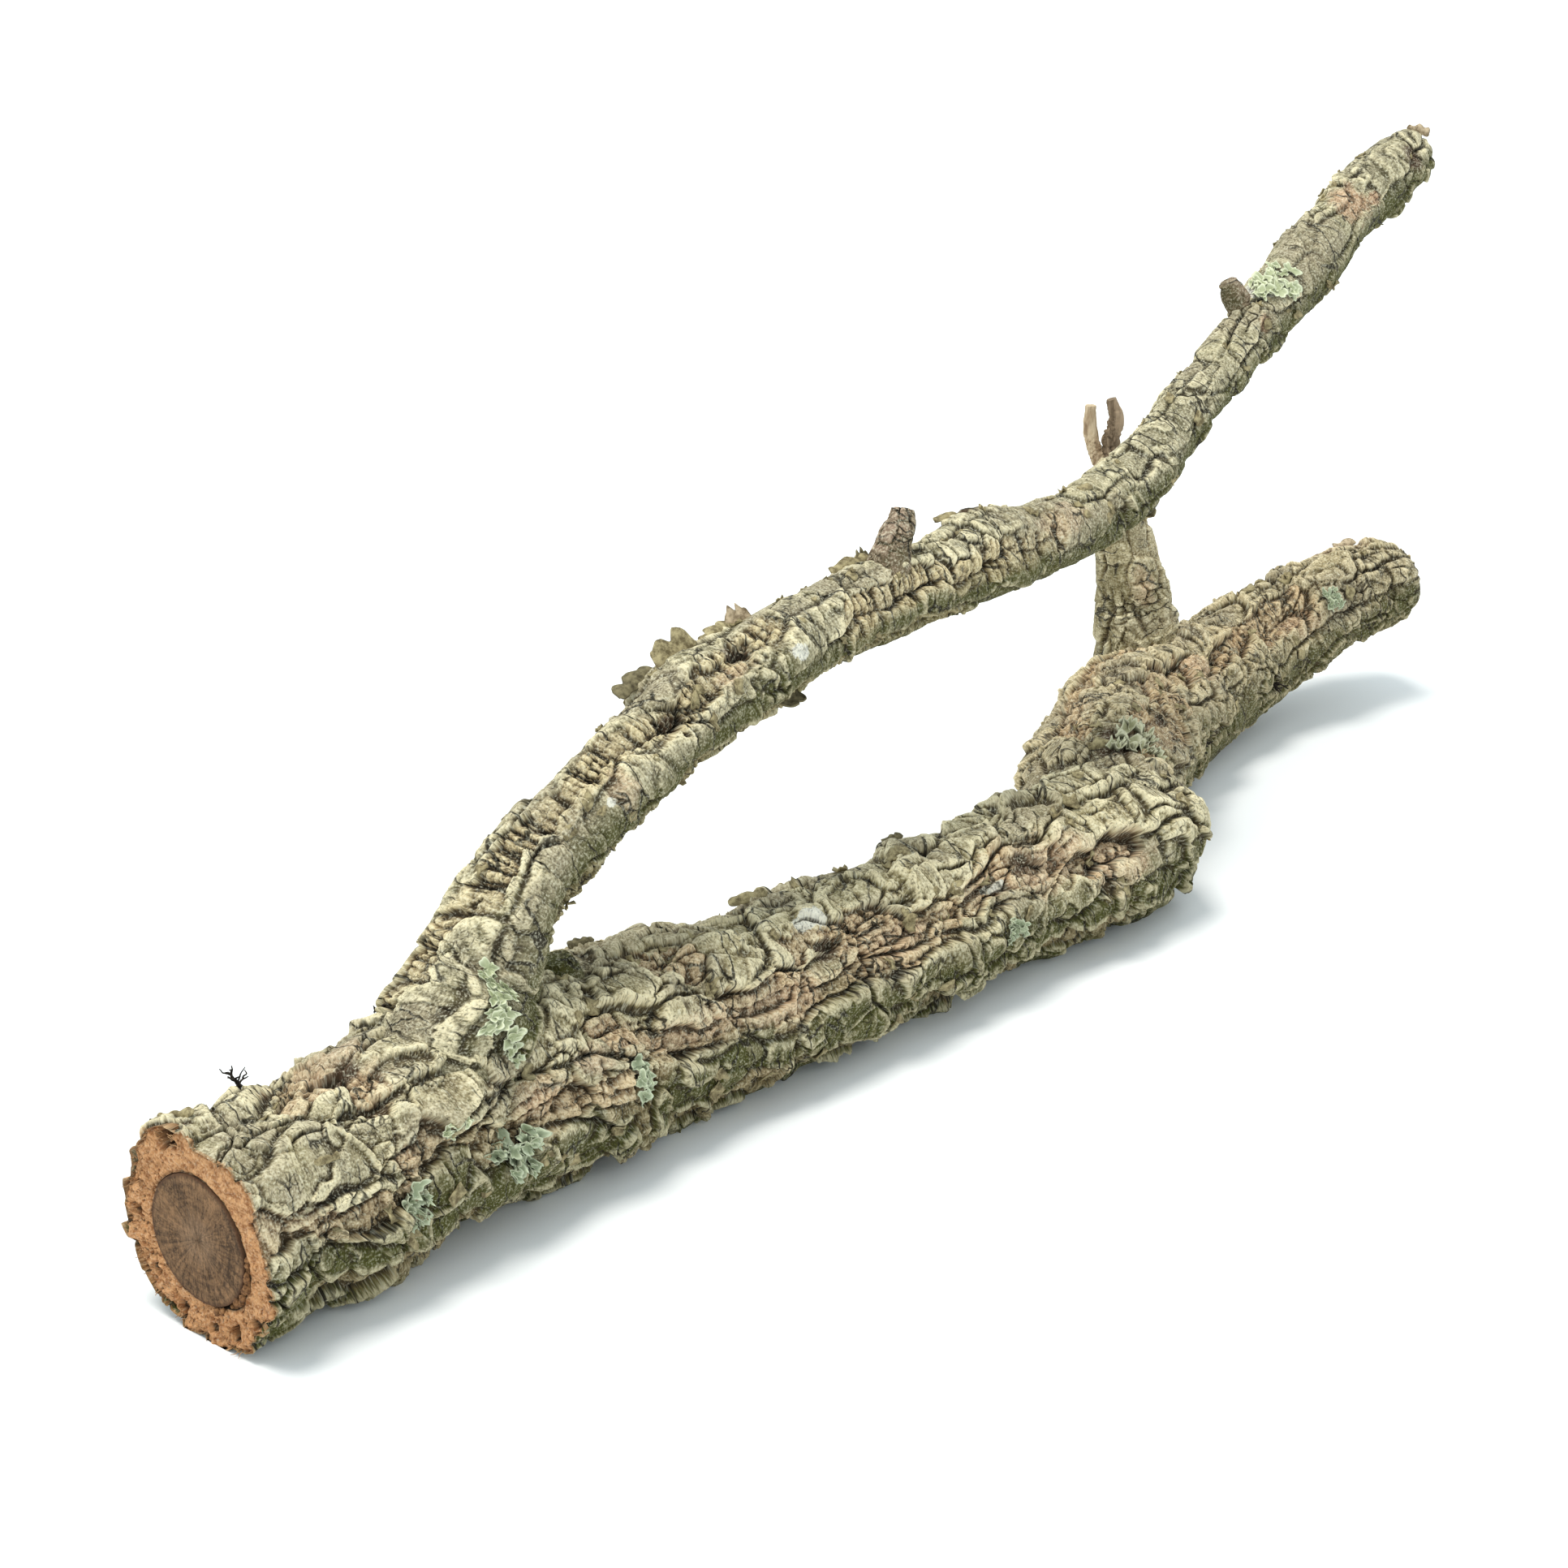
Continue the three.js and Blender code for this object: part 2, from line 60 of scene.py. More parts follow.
stem = {
    **limbBasics,
    "rows": [
        (0, 0, 27, 27.4), (24, 1, 27, 28), (50, 3, 28, 28.6), (75, 4, 28, 28.4), (100, 4, 27, 27.6),
        (128, 5, 26, 26.2), (156, 5, 25, 25.2), (188, 3, 24, 24.4), (220, 2, 23.6, 24), (254, 2, 23, 23.8),
        (290, 1, 23, 23.6), (324, 0, 23, 23.8), (350, 0, 23, 23.8), (368, 1, 22.5, 20.5), (379, 2, 22, 13),
    ],
    "plates": {"ridges": 10, "plateLength": 27, "depth": 4, "width": 2.6, "step": 4.0},
    "furrows": [
        (6, 4, [(0, 72), (10, 72), (24, 78), (37, 90), (47, 90)]),
        (7, 4.5, [(45, 60), (65, 76), (83, 80), (97, 74), (113, 88), (130, 94)]),
        (7.5, 5, [(138, 72), (152, 66), (178, 64), (194, 74), (209, 72), (222, 62), (251, 62),
                  (269, 50), (290, 44), (302, 50), (319, 66), (333, 60)]),
        (6, 5, [(34, -4), (43, 0), (49, 22)]),
        (4, 4, [(74, 10), (83, 20), (88, 34)]),
        (6, 5, [(121, 48), (128, 52), (138, 62)]),
        (4, 4, [(147, 14), (159, 22), (159, 36)]),
        (5, 4.5, [(196, 40), (208, 44), (224, 36)]),
        (5, 5, [(20, 130), (90, 142), (170, 128), (250, 136), (330, 124)]),
        (5, 5, [(10, -70), (80, -84), (150, -72), (230, -86), (320, -70)]),
        (4.5, 5, [(60, -140), (160, -128), (260, -142), (340, -130)]),
    ],
    "lumps": [
        (60, 52, 3.5, 11), (82, 36, 4.5, 9), (8, -26, 3, 9), (14, 40, 2, 10), (108, 30, 3, 9),
        (118, 66, 3, 8), (170, 40, 3, 12), (190, 90, 3, 12), (232, 84, 3, 10), (246, 34, 3, 11),
        (284, 74, 3.5, 11), (300, 24, 3, 10), (330, 88, 4, 12), (346, 40, 4.5, 12),
        (366, 64, 4.5, 9), (372, 10, 3, 9),
        (208, 44, -4, 4), (146, -30, 3, 9), (212, -40, 3, 12), (300, -36, 3, 12), (40, 128, 2.5, 12),
        (130, 110, 3, 11), (262, 112, 3, 12),
    ],
    "stains": {
        "blush": [
            (150, 66, 18, 5), (182, 70, 20, 6), (232, 60, 14, 5), (272, 50, 10, 5), (300, 52, 22, 9),
            (326, 70, 14, 9), (92, 68, 7, 5), (47, -8, 12, 7), (112, 58, 6, 5),
        ],
        "white": [(208, 22, 8, 4), (276, 52, 5, 2.5)],
        "stain": [(208, 46, 5, 4), (46, 4, 7, 4), (290, 44, 6, 4), (379, 50, 8, 13)],
        "pale": [(165, 14, 30, 16), (222, 6, 50, 18), (300, 8, 48, 18)],
    },
    "grid": (960, 380),
    "pieces": 4,
    "salt": 1,
    "sawn": True,
    "tilt": 0.2,
    "lamella": 0.8,
    "layer": 0.85,
    "lines": 0.3,
    "chunk": 0.75,
    "smooth": -0.35,
    "furrowShare": 0.6,
    "scales": {"size": 9, "height": 1.6, "crack": 1.0},
    "roughness": 0.22,
}
upper = {
    **limbBasics,
    "rows": [
        (72, 3, 28, 19), (82, 3, 44, 21), (88, 3, 54, 20), (94, 4, 63, 17), (101, 4, 73, 14.6),
        (112, 5, 84, 12.6), (130, 6, 94, 12.6), (153, 8, 103, 12.7), (178, 10, 111, 13),
        (204, 12, 116, 12.8), (232, 15, 119, 12), (260, 17, 120, 11.6), (293, 20, 120, 11.5),
        (327, 22, 119, 11.2), (361, 25, 120, 11.2), (388, 27, 126, 10.6), (413, 29, 139, 9.4),
        (438, 31, 151, 9), (463, 33, 164, 9.6), (486, 35, 176, 11.2), (509, 37, 187, 10.2),
        (531, 38, 196, 10.6), (547, 40, 201, 10.2), (557, 41, 204, 7.4),
    ],
    "plates": {"ridges": 6, "plateLength": 19, "depth": 1.8, "width": 1.9, "step": 1.8},
    "furrows": [
        (4, 4, [(30, -30), (48, -14), (73, 12), (90, 18), (114, 24), (127, 38), (157, 16), (172, 20)]),
        (3, 4, [(200, 70), (230, 62), (262, 74), (300, 60)]),
        (3, 4, [(60, 130), (120, 142), (180, 128), (250, 140)]),
        (2.4, 3.5, [(300, -60), (340, -48), (380, -62)]),
    ],
    "lumps": [
        (127, 40, -3.5, 4.5), (158, 16, -4, 5), (277, -24, 5, 13), (146, -20, 2, 9), (170, 60, 1.6, 9),
        (108, 60, 2, 9), (62, -16, 2.5, 10), (60, 50, 2.5, 10), (30, 40, 3, 11), (216, 10, 2, 8),
        (250, 60, 1.8, 9),
        (304, 40, 2, 9), (340, -10, 2, 9), (366, 70, 1.8, 8), (392, 0, 1.6, 8), (470, 40, 1.2, 8),
        (498, 10, 1.2, 7), (520, 30, 1.4, 6),
    ],
    "stains": {
        "blush": [(306, 46, 12, 5), (100, 60, 4, 6), (150, 44, 9, 4)],
        "orange": [(491, 34, 7, 8), (429, 54, 3, 3), (500, 60, 3, 3)],
        "white": [(440, -6, 6, 8), (96, 62, 2, 1.6), (172, 66, 4, 3)],
        "stain": [(127, 40, 4.5, 4), (158, 16, 5, 4.5), (524, 54, 5, 5), (277, -30, 5, 4)],
        "pale": [(330, 20, 30, 10), (410, 10, 20, 9)],
    },
    "fadeIn": 30,
    "grid": (1500, 156),
    "pieces": 3,
    "salt": 2,
    "tilt": 0.1,
    "lamella": 1.35,
    "layer": 0.6,
    "lines": 0.65,
    "chunk": 0.5,
    "smooth": 0.05,
    "furrowShare": 0.7,
    "scales": {"size": 7, "height": 0.7, "crack": 0.6},
    "roughness": 0.14,
}
back = {
    **limbBasics,
    "rows": [
        (345, 6, 24, 20), (362, 16, 25, 24.5), (388, 32, 25, 25), (424, 51, 24, 24.4), (456, 62, 23, 23.2),
        (486, 67, 22, 22), (512, 69, 26, 20), (534, 66, 31, 19.5), (554, 62, 36, 17.8), (572, 57, 39, 16.4),
        (582, 52, 41, 14.4), (587, 50, 42, 10),
    ],
    "plates": {"ridges": 10, "plateLength": 22, "depth": 3.4, "width": 2.4, "step": 3},
    "furrows": [
        (5, 5, [(24, 34), (60, 40), (96, 30), (128, 44), (166, 34), (206, 42)]),
        (5, 5, [(30, -20), (70, -32), (110, -18), (150, -30)]),
        (4.5, 5, [(40, -90), (90, -104), (150, -92), (210, -104)]),
    ],
    "lumps": [
        (18, 50, 4.5, 11), (44, 16, 3.5, 11), (70, 66, 4, 12), (96, 6, 3.5, 11), (120, 74, 3.5, 11),
        (142, 8, 3, 10), (164, 60, 3, 10), (190, 14, 2.6, 9), (214, 56, 2.6, 9), (238, -10, 3, 9),
        (36, -50, 3, 11), (100, -60, 3, 12),
    ],
    "stains": {
        "blush": [(242, -22, 12, 6), (120, 40, 10, 6), (200, 60, 10, 6)],
        "stain": [(22, 14, 9, 7), (9, 64, 6, 4), (60, 40, 5, 4)],
    },
    "grid": (500, 280),
    "pieces": 2,
    "salt": 3,
    "tilt": 0.18,
    "lamella": 0.8,
    "layer": 0.8,
    "lines": 0.35,
    "chunk": 0.7,
    "smooth": -0.25,
    "furrowShare": 0.6,
    "scales": {"size": 8, "height": 1.3, "crack": 1.0},
    "roughness": 0.22,
}
twig = {
    **limbBasics,
    "rows": [
        (464, 70, 14, 17), (465, 76, 32, 17), (463, 78, 46, 14.4), (462, 80, 58, 12.8), (460, 81, 70, 10.6),
        (459, 83, 84, 8.1), (457, 85, 97, 6.1), (455, 87, 105, 5),
    ],
    "up": (-1, 0, 0),
    "plates": {"ridges": 6, "plateLength": 15, "depth": 1.6, "width": 1.8, "step": 1.4},
    "stains": {"blush": [(52, 60, 8, 5)], "pale": [(40, 60, 34, 20)]},
    "grid": (210, 150),
    "salt": 4,
    "tilt": 0.1,
    "lamella": 0.6,
    "layer": 0.5,
    "lines": 0.3,
    "chunk": 0.6,
    "smooth": -0.15,
    "furrowShare": 0.6,
    "scales": {"size": 5, "height": 0.6, "crack": 0.6},
    "roughness": 0.14,
}


def smallLimb(rows, grid, salt, size=3.0):
    # an upright twig too small for furrows of its own: low plates and fine scales only
    return {
        **limbBasics,
        "rows": rows,
        "up": (-1, 0, 0),
        "plates": {"ridges": 6, "plateLength": 6, "depth": 0.4, "width": 0.6, "step": 0.2},
        "grid": grid,
        "salt": salt,
        "tilt": 0.05,
        "lamella": 0,
        "layer": 0.25,
        "lines": 0,
        "chunk": 0.4,
        "smooth": -0.1,
        "furrowShare": 1,
        "scales": {"size": size, "height": 0.2, "crack": 0.25},
        "roughness": 0.12,
    }


spurRows = [(263, 17, 124, 8), (264, 17, 129, 6.8), (266, 17, 136, 5.2), (269, 17, 141, 4.4),
            (271, 18, 145, 3.2)]
budRows = [(455, 36, 168, 4.6), (452, 37, 173, 4.2), (450, 38, 177, 3)]
knobRows = [(128, 8, 44, 7), (127, 9, 52, 5.4), (126, 9, 56, 3.6)]
rightRows = [(455, 87, 103, 3.4), (455.5, 87, 114, 3), (456.5, 86, 121, 2.6), (455, 87.5, 128, 1.8)]
leftRows = [(453.5, 88.5, 103, 3), (451, 90.5, 111, 2.6), (450, 92, 118, 2.4), (450, 92, 126, 1.7)]
spur = smallLimb(spurRows, (60, 70), 5)
bud = smallLimb(budRows, (40, 50), 6)
knob = smallLimb(knobRows, (50, 60), 7)
rightProng = smallLimb(rightRows, (70, 30), 8, 2.0)
leftProng = smallLimb(leftRows, (70, 30), 9, 2.0)

# Noise


def cornerChance(corner, salt):
    # hash of a lattice corner: its numbers times large odd numbers, summed and mixed twice, as 32 bits
    mixed = (corner[..., 0] * np.uint32(374761393) + corner[..., 1] * np.uint32(668265263)
             + corner[..., 2] * np.uint32(1274126177) + np.uint32((salt * 2246822519) % 2**32))
    mixed = (mixed ^ (mixed >> np.uint32(13))) * np.uint32(1103515245)
    return mixed ^ (mixed >> np.uint32(16))


def noise(points, size, salt=0):
    # smooth noise from about -1 to 1: the slopes that chance gives to the eight lattice corners around, which
    # are `size` mm apart, blended by 6 t^5 - 15 t^4 + 10 t^3
    scaled = points / size
    cell = np.floor(scaled)
    inside = scaled - cell
    blend = inside**3 * (inside * (inside * 6 - 15) + 10)
    corner = cell.astype(np.int64).astype(np.uint32)
    total = np.zeros(points.shape[:-1])
    for step in itertools.product((0, 1), repeat=3):
        chance = cornerChance(corner + np.array(step, dtype=np.uint32), salt)
        slope = [((chance >> np.uint32(shift)) & np.uint32(1023)) / 511.5 - 1 for shift in (0, 10, 20)]
        weight = np.prod(np.where(step, blend, 1 - blend), axis=-1)
        total += weight * sum(slope[k] * (inside[..., k] - step[k]) for k in range(3))
    return total * 1.6


def roughNoise(points, size, octaves, salt=0):
    # noise summed over octaves, each half as wide and half as high as the last
    return sum(noise(points, size / 2**k, salt + 7 * k) / 2**k for k in range(octaves))


def smoothStep(low, high, value):
    # 0 at low, 1 at high and beyond, and 3 s^2 - 2 s^3 between them; low may be the larger
    share = np.clip((value - low) / (high - low), 0, 1)
    return share * share * (3 - 2 * share)


# Places round a limb


def wrapDegrees(angle):
    # the same angle between -180 and 180
    return angle - 360 * np.round(angle / 360)


def arcLength(angle, start, radius):
    # mm round the limb from the start to the angle
    return wrapDegrees(angle - start) * math.pi / 180 * radius


def straightened(along, reach, angle):
    # the same place on a straight limb: distance along, reach * cos(angle) and reach * sin(angle)
    turn = np.radians(angle)
    return np.stack([along, reach * np.cos(turn), reach * np.sin(turn)], axis=-1)


def outwardAt(angle, side, top):
    # the direction cos(angle) * top + sin(angle) * side
    turn = np.radians(angle)[..., None]
    return np.cos(turn) * top + np.sin(turn) * side


def ringGrid(values, sides):
    # a grid with a ring for each value: the value and the angle of each of its points
    angle = np.linspace(0, 360, sides, endpoint=False)
    return np.meshgrid(np.asarray(values), angle, indexing="ij")


# Bark relief


def plateChance(row, column, salt):
    # a plate's own chance from 0 to 1: what is left after the point of a large sine
    wave = np.sin(row * 127.1 + column * 311.7 + salt * 74.7) * 43758.5453
    return wave - np.floor(wave)


def plateRelief(along, angle, radius, plates, salt, tilt):
    # plates in wandering lengthwise ridges, each point in the plate of its nearest seed, with a step and a
    # tilt per plate and cracks of depth * exp(-(distance from the edge / width)^2); returns the height, the
    # crack's depth, how close the edge is, the plate's own chance and how far off its seed lies
    ridges = plates["ridges"]
    drift = 0.35 * np.sin(along / 41 + salt) + 0.2 * np.sin(along / 17 + 1.3 + salt)
    around = angle / 360 * ridges + drift
    row = along / plates["plateLength"]
    plateWidth = 2 * np.pi * radius / ridges
    first = {"distance": np.full(along.shape, 1e9)}
    second = {"distance": np.full(along.shape, 1e9)}
    for i, j in itertools.product((-2, -1, 0, 1), (-1, 0, 1)):
        seedI = np.floor(row) + i
        seedJ = np.floor(around) + j
        column = np.mod(seedJ, ridges)
        seedRow = seedI + 0.5 * np.mod(column, 2) + 0.6 * plateChance(seedI, column, 1 + salt)
        seedAround = seedJ + 0.5 + 0.4 * (plateChance(seedI, column, 2 + salt) - 0.5)
        offAlong = (row - seedRow) * plateWidth
        offAround = (around - seedAround) * plateWidth
        here = {
            "distance": np.hypot(offAlong, offAround), "offAlong": offAlong, "offAround": offAround,
            "chance": plateChance(seedI, column, 3 + salt), "turn": plateChance(seedI, column, 5 + salt),
        }
        nearest = here["distance"] < first["distance"]
        runnerUp = ~nearest & (here["distance"] < second["distance"])
        for key, value in here.items():
            farther = np.where(runnerUp, value, second.get(key, 0))
            second[key] = np.where(nearest, first.get(key, 0), farther)
            first[key] = np.where(nearest, value, first.get(key, 0))
    edge = (second["distance"] - first["distance"]) / 2
    apartAround = np.abs(second["offAround"] - first["offAround"])
    sideways = apartAround / np.hypot(apartAround, second["offAlong"] - first["offAlong"])
    valley = np.exp(-((edge / plates["width"]) ** 2))
    slit = np.exp(-((edge / (0.08 * plates["width"] + 0.14)) ** 2))
    narrow = np.exp(-((edge / (0.42 * plates["width"])) ** 2))
    crack = plates["depth"] * (0.4 + 0.6 * sideways) * (0.25 * valley + 0.55 * narrow)
    lean = 6.28 * first["turn"]
    slope = tilt * (first["offAlong"] * np.cos(lean) + first["offAround"] * np.sin(lean))
    height = (plates["step"] * (first["chance"] - 0.5) + slope) * (1 - np.exp(-((edge / 0.45) ** 2)))
    homeAlong = first["offAlong"] / plateWidth * plates["plateLength"]
    homeAngle = first["offAround"] / plateWidth * 360 / ridges
    return height, crack, slit, first["chance"], (homeAlong, homeAngle)


def furrowDepth(along, angle, radius, furrows):
    # deepest of the furrows at each point, depth * exp(-(distance from its path / width)^2), and how near
    # its bottom is, from 0 to 1
    deepest = np.zeros(along.shape)
    nearest = np.zeros(along.shape)
    perDegree = radius * math.pi / 180
    for depth, width, path in furrows:
        for (startAlong, startAngle), (endAlong, endAngle) in zip(path, path[1:]):
            runAlong = endAlong - startAlong
            runAround = (endAngle - startAngle) * perDegree
            offAlong = along - startAlong
            offAround = wrapDegrees(angle - startAngle) * perDegree
            onPath = (offAlong * runAlong + offAround * runAround) / (runAlong**2 + runAround**2)
            share = np.clip(onPath, 0, 1)
            distance = np.hypot(offAlong - share * runAlong, offAround - share * runAround)
            near = np.exp(-((distance / width) ** 2))
            deepest = np.maximum(deepest, depth * near)
            nearest = np.maximum(nearest, near)
    return deepest, nearest


def lumpHeight(along, angle, radius, lumps):
    # sum of bumps, each height * exp(-(distance / spread)^2); pits are negative
    total = np.zeros(along.shape)
    for lumpAlong, lumpAngle, height, spread in lumps:
        around = arcLength(angle, lumpAngle, radius)
        total += height * np.exp(-(((along - lumpAlong) ** 2 + around**2) / spread**2))
    return total


packPitch = 8.8  # mm between the packs of laminated cork
ledgePitch = 2.2  # mm between the ledges in a pack
terraceStep = 1.5  # mm between the terraces of a furrow


def smallPlates(limb, radius):
    # the small plates on the big ones and the crumbs on those, as many round the limb as its girth holds
    scales = limb["scales"]
    girth = 2 * math.pi * float(np.mean(radius))
    small = {
        "ridges": 2 * round(girth / scales["size"] / 2), "plateLength": scales["size"] * 1.1,
        "depth": scales["crack"], "width": 0.9, "step": scales["height"],
    }
    crumbs = {
        "ridges": 2 * round(girth / scales["size"] * 1.2), "plateLength": scales["size"] * 0.45,
        "depth": scales["crack"] * 0.6, "width": 0.6, "step": scales["height"] * 0.6,
    }
    return small, crumbs


def laminatedCork(limb, straight, along, nearFurrow, cracked):
    # cork on the flanks of the furrows, in packs, |sin(pi along / packPitch)|^0.6, of fine ledges, which rise
    # and fall evenly every ledgePitch: its share, its height and its slits
    cork = smoothStep(0.1, 0.45, nearFurrow) * (0.6 + 0.4 * cracked)
    slant = along + 0.8 * noise(straight, 7, limb["salt"] + 8)
    packs = np.abs(np.sin(math.pi * slant / packPitch)) ** 0.6
    ledges = np.abs(np.mod(slant / ledgePitch, 1) * 2 - 1)
    height = cork * (1.5 * (packs - 0.7) + 0.5 * (ledges - 0.5) * (0.4 + 0.6 * cracked))
    lines = smoothStep(0.34, 0.05, ledges) * (0.3 + 0.7 * cracked) + smoothStep(0.5, 0.2, packs)
    slits = smoothStep(0.3, 0.8, cork) * np.clip(lines, 0, 1) * limb["lamella"] * limb["lines"]
    return cork, height, slits


def weatheredLayers(straight, cracked, salt):
    # layers with lifted rims: the whole part of a smooth noise less 0.8 of that noise, and a crevice at each
    # step from one layer to the next
    flattened = straight * np.array([1, 0.7, 0.7])
    contour = 1.9 * noise(flattened, 22, salt + 18) + 0.3 * noise(straight, 6, salt + 19)
    layer = np.floor(contour)
    rise = contour - layer
    lifted = layer + smoothStep(0.0, 0.06, rise) - 0.8 * contour
    crevice = np.maximum(smoothStep(0.93, 0.99, rise), smoothStep(0.02, 0.0, rise))
    return layer, lifted, crevice * (0.35 + 0.65 * cracked)


def barkRelief(limb, along, angle, radius):
    # height of the bark in mm, with the masks that its colours follow: plates less their cracks and the
    # furrows, plus lumps, laminated cork, layers, small plates and crumbs, less slits, plus fine noise
    salt = limb["salt"]
    straight = straightened(along, radius, angle)
    warpAlong = 3.4 * noise(straight, 16, salt) + 0.4 * noise(straight, 4, salt + 1)
    warpAround = 3.6 * noise(straight, 17, salt + 2) + 0.4 * noise(straight, 3.5, salt + 3)
    movedAlong = along + warpAlong
    movedAngle = angle + warpAround / (radius * math.pi / 180)
    fade = smoothStep(limb["fadeIn"] / 2, limb["fadeIn"], along) if limb["fadeIn"] else 1.0
    sawn = 0.35 + 0.65 * smoothStep(0, 14, along) if limb["sawn"] else 1.0

    plates, tilt = limb["plates"], limb["tilt"]
    small, crumbs = smallPlates(limb, radius)
    height, crack, slit, tone, _ = plateRelief(movedAlong, movedAngle, radius, plates, 0, tilt)
    smallHeight, smallCrack, smallSlit, smallTone, smallHome = plateRelief(
        movedAlong + warpAlong, movedAngle, radius, small, 11 + salt, 0.32)
    crumbHeight, crumbCrack, crumbSlit, _, crumbHome = plateRelief(
        along + warpAlong, movedAngle, radius, crumbs, 23 + salt, 0.3)
    # furrows and lumps are broken into blocks: each small plate lies near the depth of its own seed
    chunk = limb["chunk"]
    blockAlong = chunk * smallHome[0] + 0.5 * chunk * crumbHome[0]
    blockAngle = chunk * smallHome[1] + 0.5 * chunk * crumbHome[1]
    furrow, nearFurrow = furrowDepth(
        movedAlong - blockAlong, movedAngle - blockAngle, radius, limb["furrows"])
    lump = lumpHeight(along - blockAlong, angle - blockAngle, radius, limb["lumps"])
    # where the bark is cracked, scaly, crumbly or broken is left to slow noises
    cracked = smoothStep(-0.25, 0.3, noise(straight, 15, salt + 4))
    scaly = smoothStep(limb["smooth"], limb["smooth"] + 0.3, noise(straight, 26, salt + 5))
    crumbly = np.maximum(smoothStep(0.5, 0.8, noise(straight, 13, salt + 6)),
                         0.7 * smoothStep(0.4, 0.8, nearFurrow) * cracked)
    broken = smoothStep(-0.3, 0.2, noise(straight, 9, salt + 16))
    cork, laminated, corkSlits = laminatedCork(limb, straight, along, nearFurrow, cracked)
    slits = np.maximum(slit * cracked * fade * broken, smallSlit * scaly * cracked * 0.8)
    slits = np.maximum(slits, crumbSlit * crumbly * 0.5)
    slits = np.maximum(slits, corkSlits)
    # the furrows step down in terraces, and thin creases wander over the plates
    terrace = furrow / terraceStep
    stepped = terraceStep * (np.floor(terrace) + smoothStep(0.25, 0.75, terrace - np.floor(terrace)))
    creaseNoise = noise(straight * np.array([1, 0.6, 0.6]), 12, salt + 17)
    crease = smoothStep(0.03, 0.0, np.abs(creaseNoise)) * cracked
    layer, lifted, crevice = weatheredLayers(straight, cracked, salt)

    total = fade * sawn * (height - (0.35 + 0.5 * cracked) * crack)
    total = total - limb["furrowShare"] * sawn * (0.6 * furrow + 0.4 * stepped)
    total = total + lump + limb["lamella"] * laminated - 0.5 * crease
    total = total + limb["layer"] * (lifted - 0.5 * crevice)
    total = total + scaly * (smallHeight - smallCrack) + crumbly * (crumbHeight - crumbCrack)
    total = total - slits * (0.6 + 0.4 * limb["scales"]["crack"])
    total = total + limb["roughness"] * roughNoise(straight, 6, 3, salt + 12)
    total = total + 0.12 * noise(straight * np.array([1, 0.25, 0.25]), 1.9, salt + 14)
    total = total + 0.07 * noise(straight, 1.2, salt + 15)
    masks = {
        "cork": cork,
        "slits": np.maximum(slits, np.maximum(0.35 * crease, 0.4 * crevice)),
        "straight": straight,
        "tone": 0.4 * tone + 0.3 * smallTone + 0.3 * np.mod(layer * 0.618, 1),
    }
    return total, masks


# Limb surfaces


def smoothRows(rows, samples=1600):
    # Catmull-Rom curve through the rows, a cubic between each two whose slope at a row is half the way from
    # the row before to the row after; returned with its distance along
    points = np.array(rows, dtype=float)
    padded = np.vstack([2 * points[0] - points[1], points, 2 * points[-1] - points[-2]])
    place = np.linspace(0, len(points) - 1, samples)
    i = np.minimum(place.astype(int), len(points) - 2)
    u = (place - i)[:, None]
    before, start, end, after = padded[i], padded[i + 1], padded[i + 2], padded[i + 3]
    startSlope, endSlope = (end - before) / 2, (after - start) / 2
    curve = ((2 * u**3 - 3 * u**2 + 1) * start + (u**3 - 2 * u**2 + u) * startSlope
             + (-2 * u**3 + 3 * u**2) * end + (u**3 - u**2) * endSlope)
    gaps = np.linalg.norm(np.diff(curve[:, :3], axis=0), axis=1)
    return np.concatenate([[0], np.cumsum(gaps)]), curve


def unit(vectors):
    # the same directions, 1 long
    return vectors / np.linalg.norm(vectors, axis=-1, keepdims=True)


def limbFrame(limb, along):
    # middle point, tangent, side = tangent x up, top = side x tangent, and girth at each distance along
    if "curve" not in limb:
        limb["lengths"], limb["curve"] = smoothRows(limb["rows"])
        limb["tangents"] = unit(np.gradient(limb["curve"][:, :3], axis=0))
    lengths, curve, tangents = limb["lengths"], limb["curve"], limb["tangents"]
    clipped = np.clip(along, 0, lengths[-1])
    here = np.stack([np.interp(clipped, lengths, curve[:, k]) for k in range(4)], axis=-1)
    tangent = unit(np.stack([np.interp(clipped, lengths, tangents[:, k]) for k in range(3)], axis=-1))
    side = unit(np.cross(tangent, np.array(limb["up"], dtype=float)))
    top = np.cross(side, tangent)
    return here[..., :3], tangent, side, top, here[..., 3]


def limbLength(limb):
    # mm along the middle line from its first row to its last
    limbFrame(limb, np.zeros(1))
    return float(limb["lengths"][-1])


def girthAt(limb, along):
    # the limb's radius in mm at one distance along
    return limbFrame(limb, np.array([along]))[4][0]


def barkPoint(limb, along, angle):
    # one point of the finished bark, middle + (radius + relief) * outward, with the directions along the
    # limb, round it and out of it there
    along, angle = np.array([along]), np.array([angle])
    middle, tangent, side, top, radius = limbFrame(limb, along)
    relief, _ = barkRelief(limb, along, angle, radius)
    outward = outwardAt(angle, side, top)
    point = middle + (radius + relief)[..., None] * outward
    return point[0], tangent[0], np.cross(tangent, outward)[0], outward[0]


def boxBlur(values, rings, sides):
    # running mean over a window of rings along and sides around, wrapping round the limb
    padded = np.pad(values, ((rings, rings), (0, 0)), mode="edge")
    summed = np.cumsum(np.vstack([np.zeros((1, values.shape[1])), padded]), axis=0)
    mean = (summed[2 * rings + 1:] - summed[:-2 * rings - 1]) / (2 * rings + 1)
    padded = np.concatenate([mean[:, -sides:], mean, mean[:, :sides]], axis=1)
    summed = np.cumsum(np.hstack([np.zeros((mean.shape[0], 1)), padded]), axis=1)
    return (summed[:, 2 * sides + 1:] - summed[:, :-2 * sides - 1]) / (2 * sides + 1)


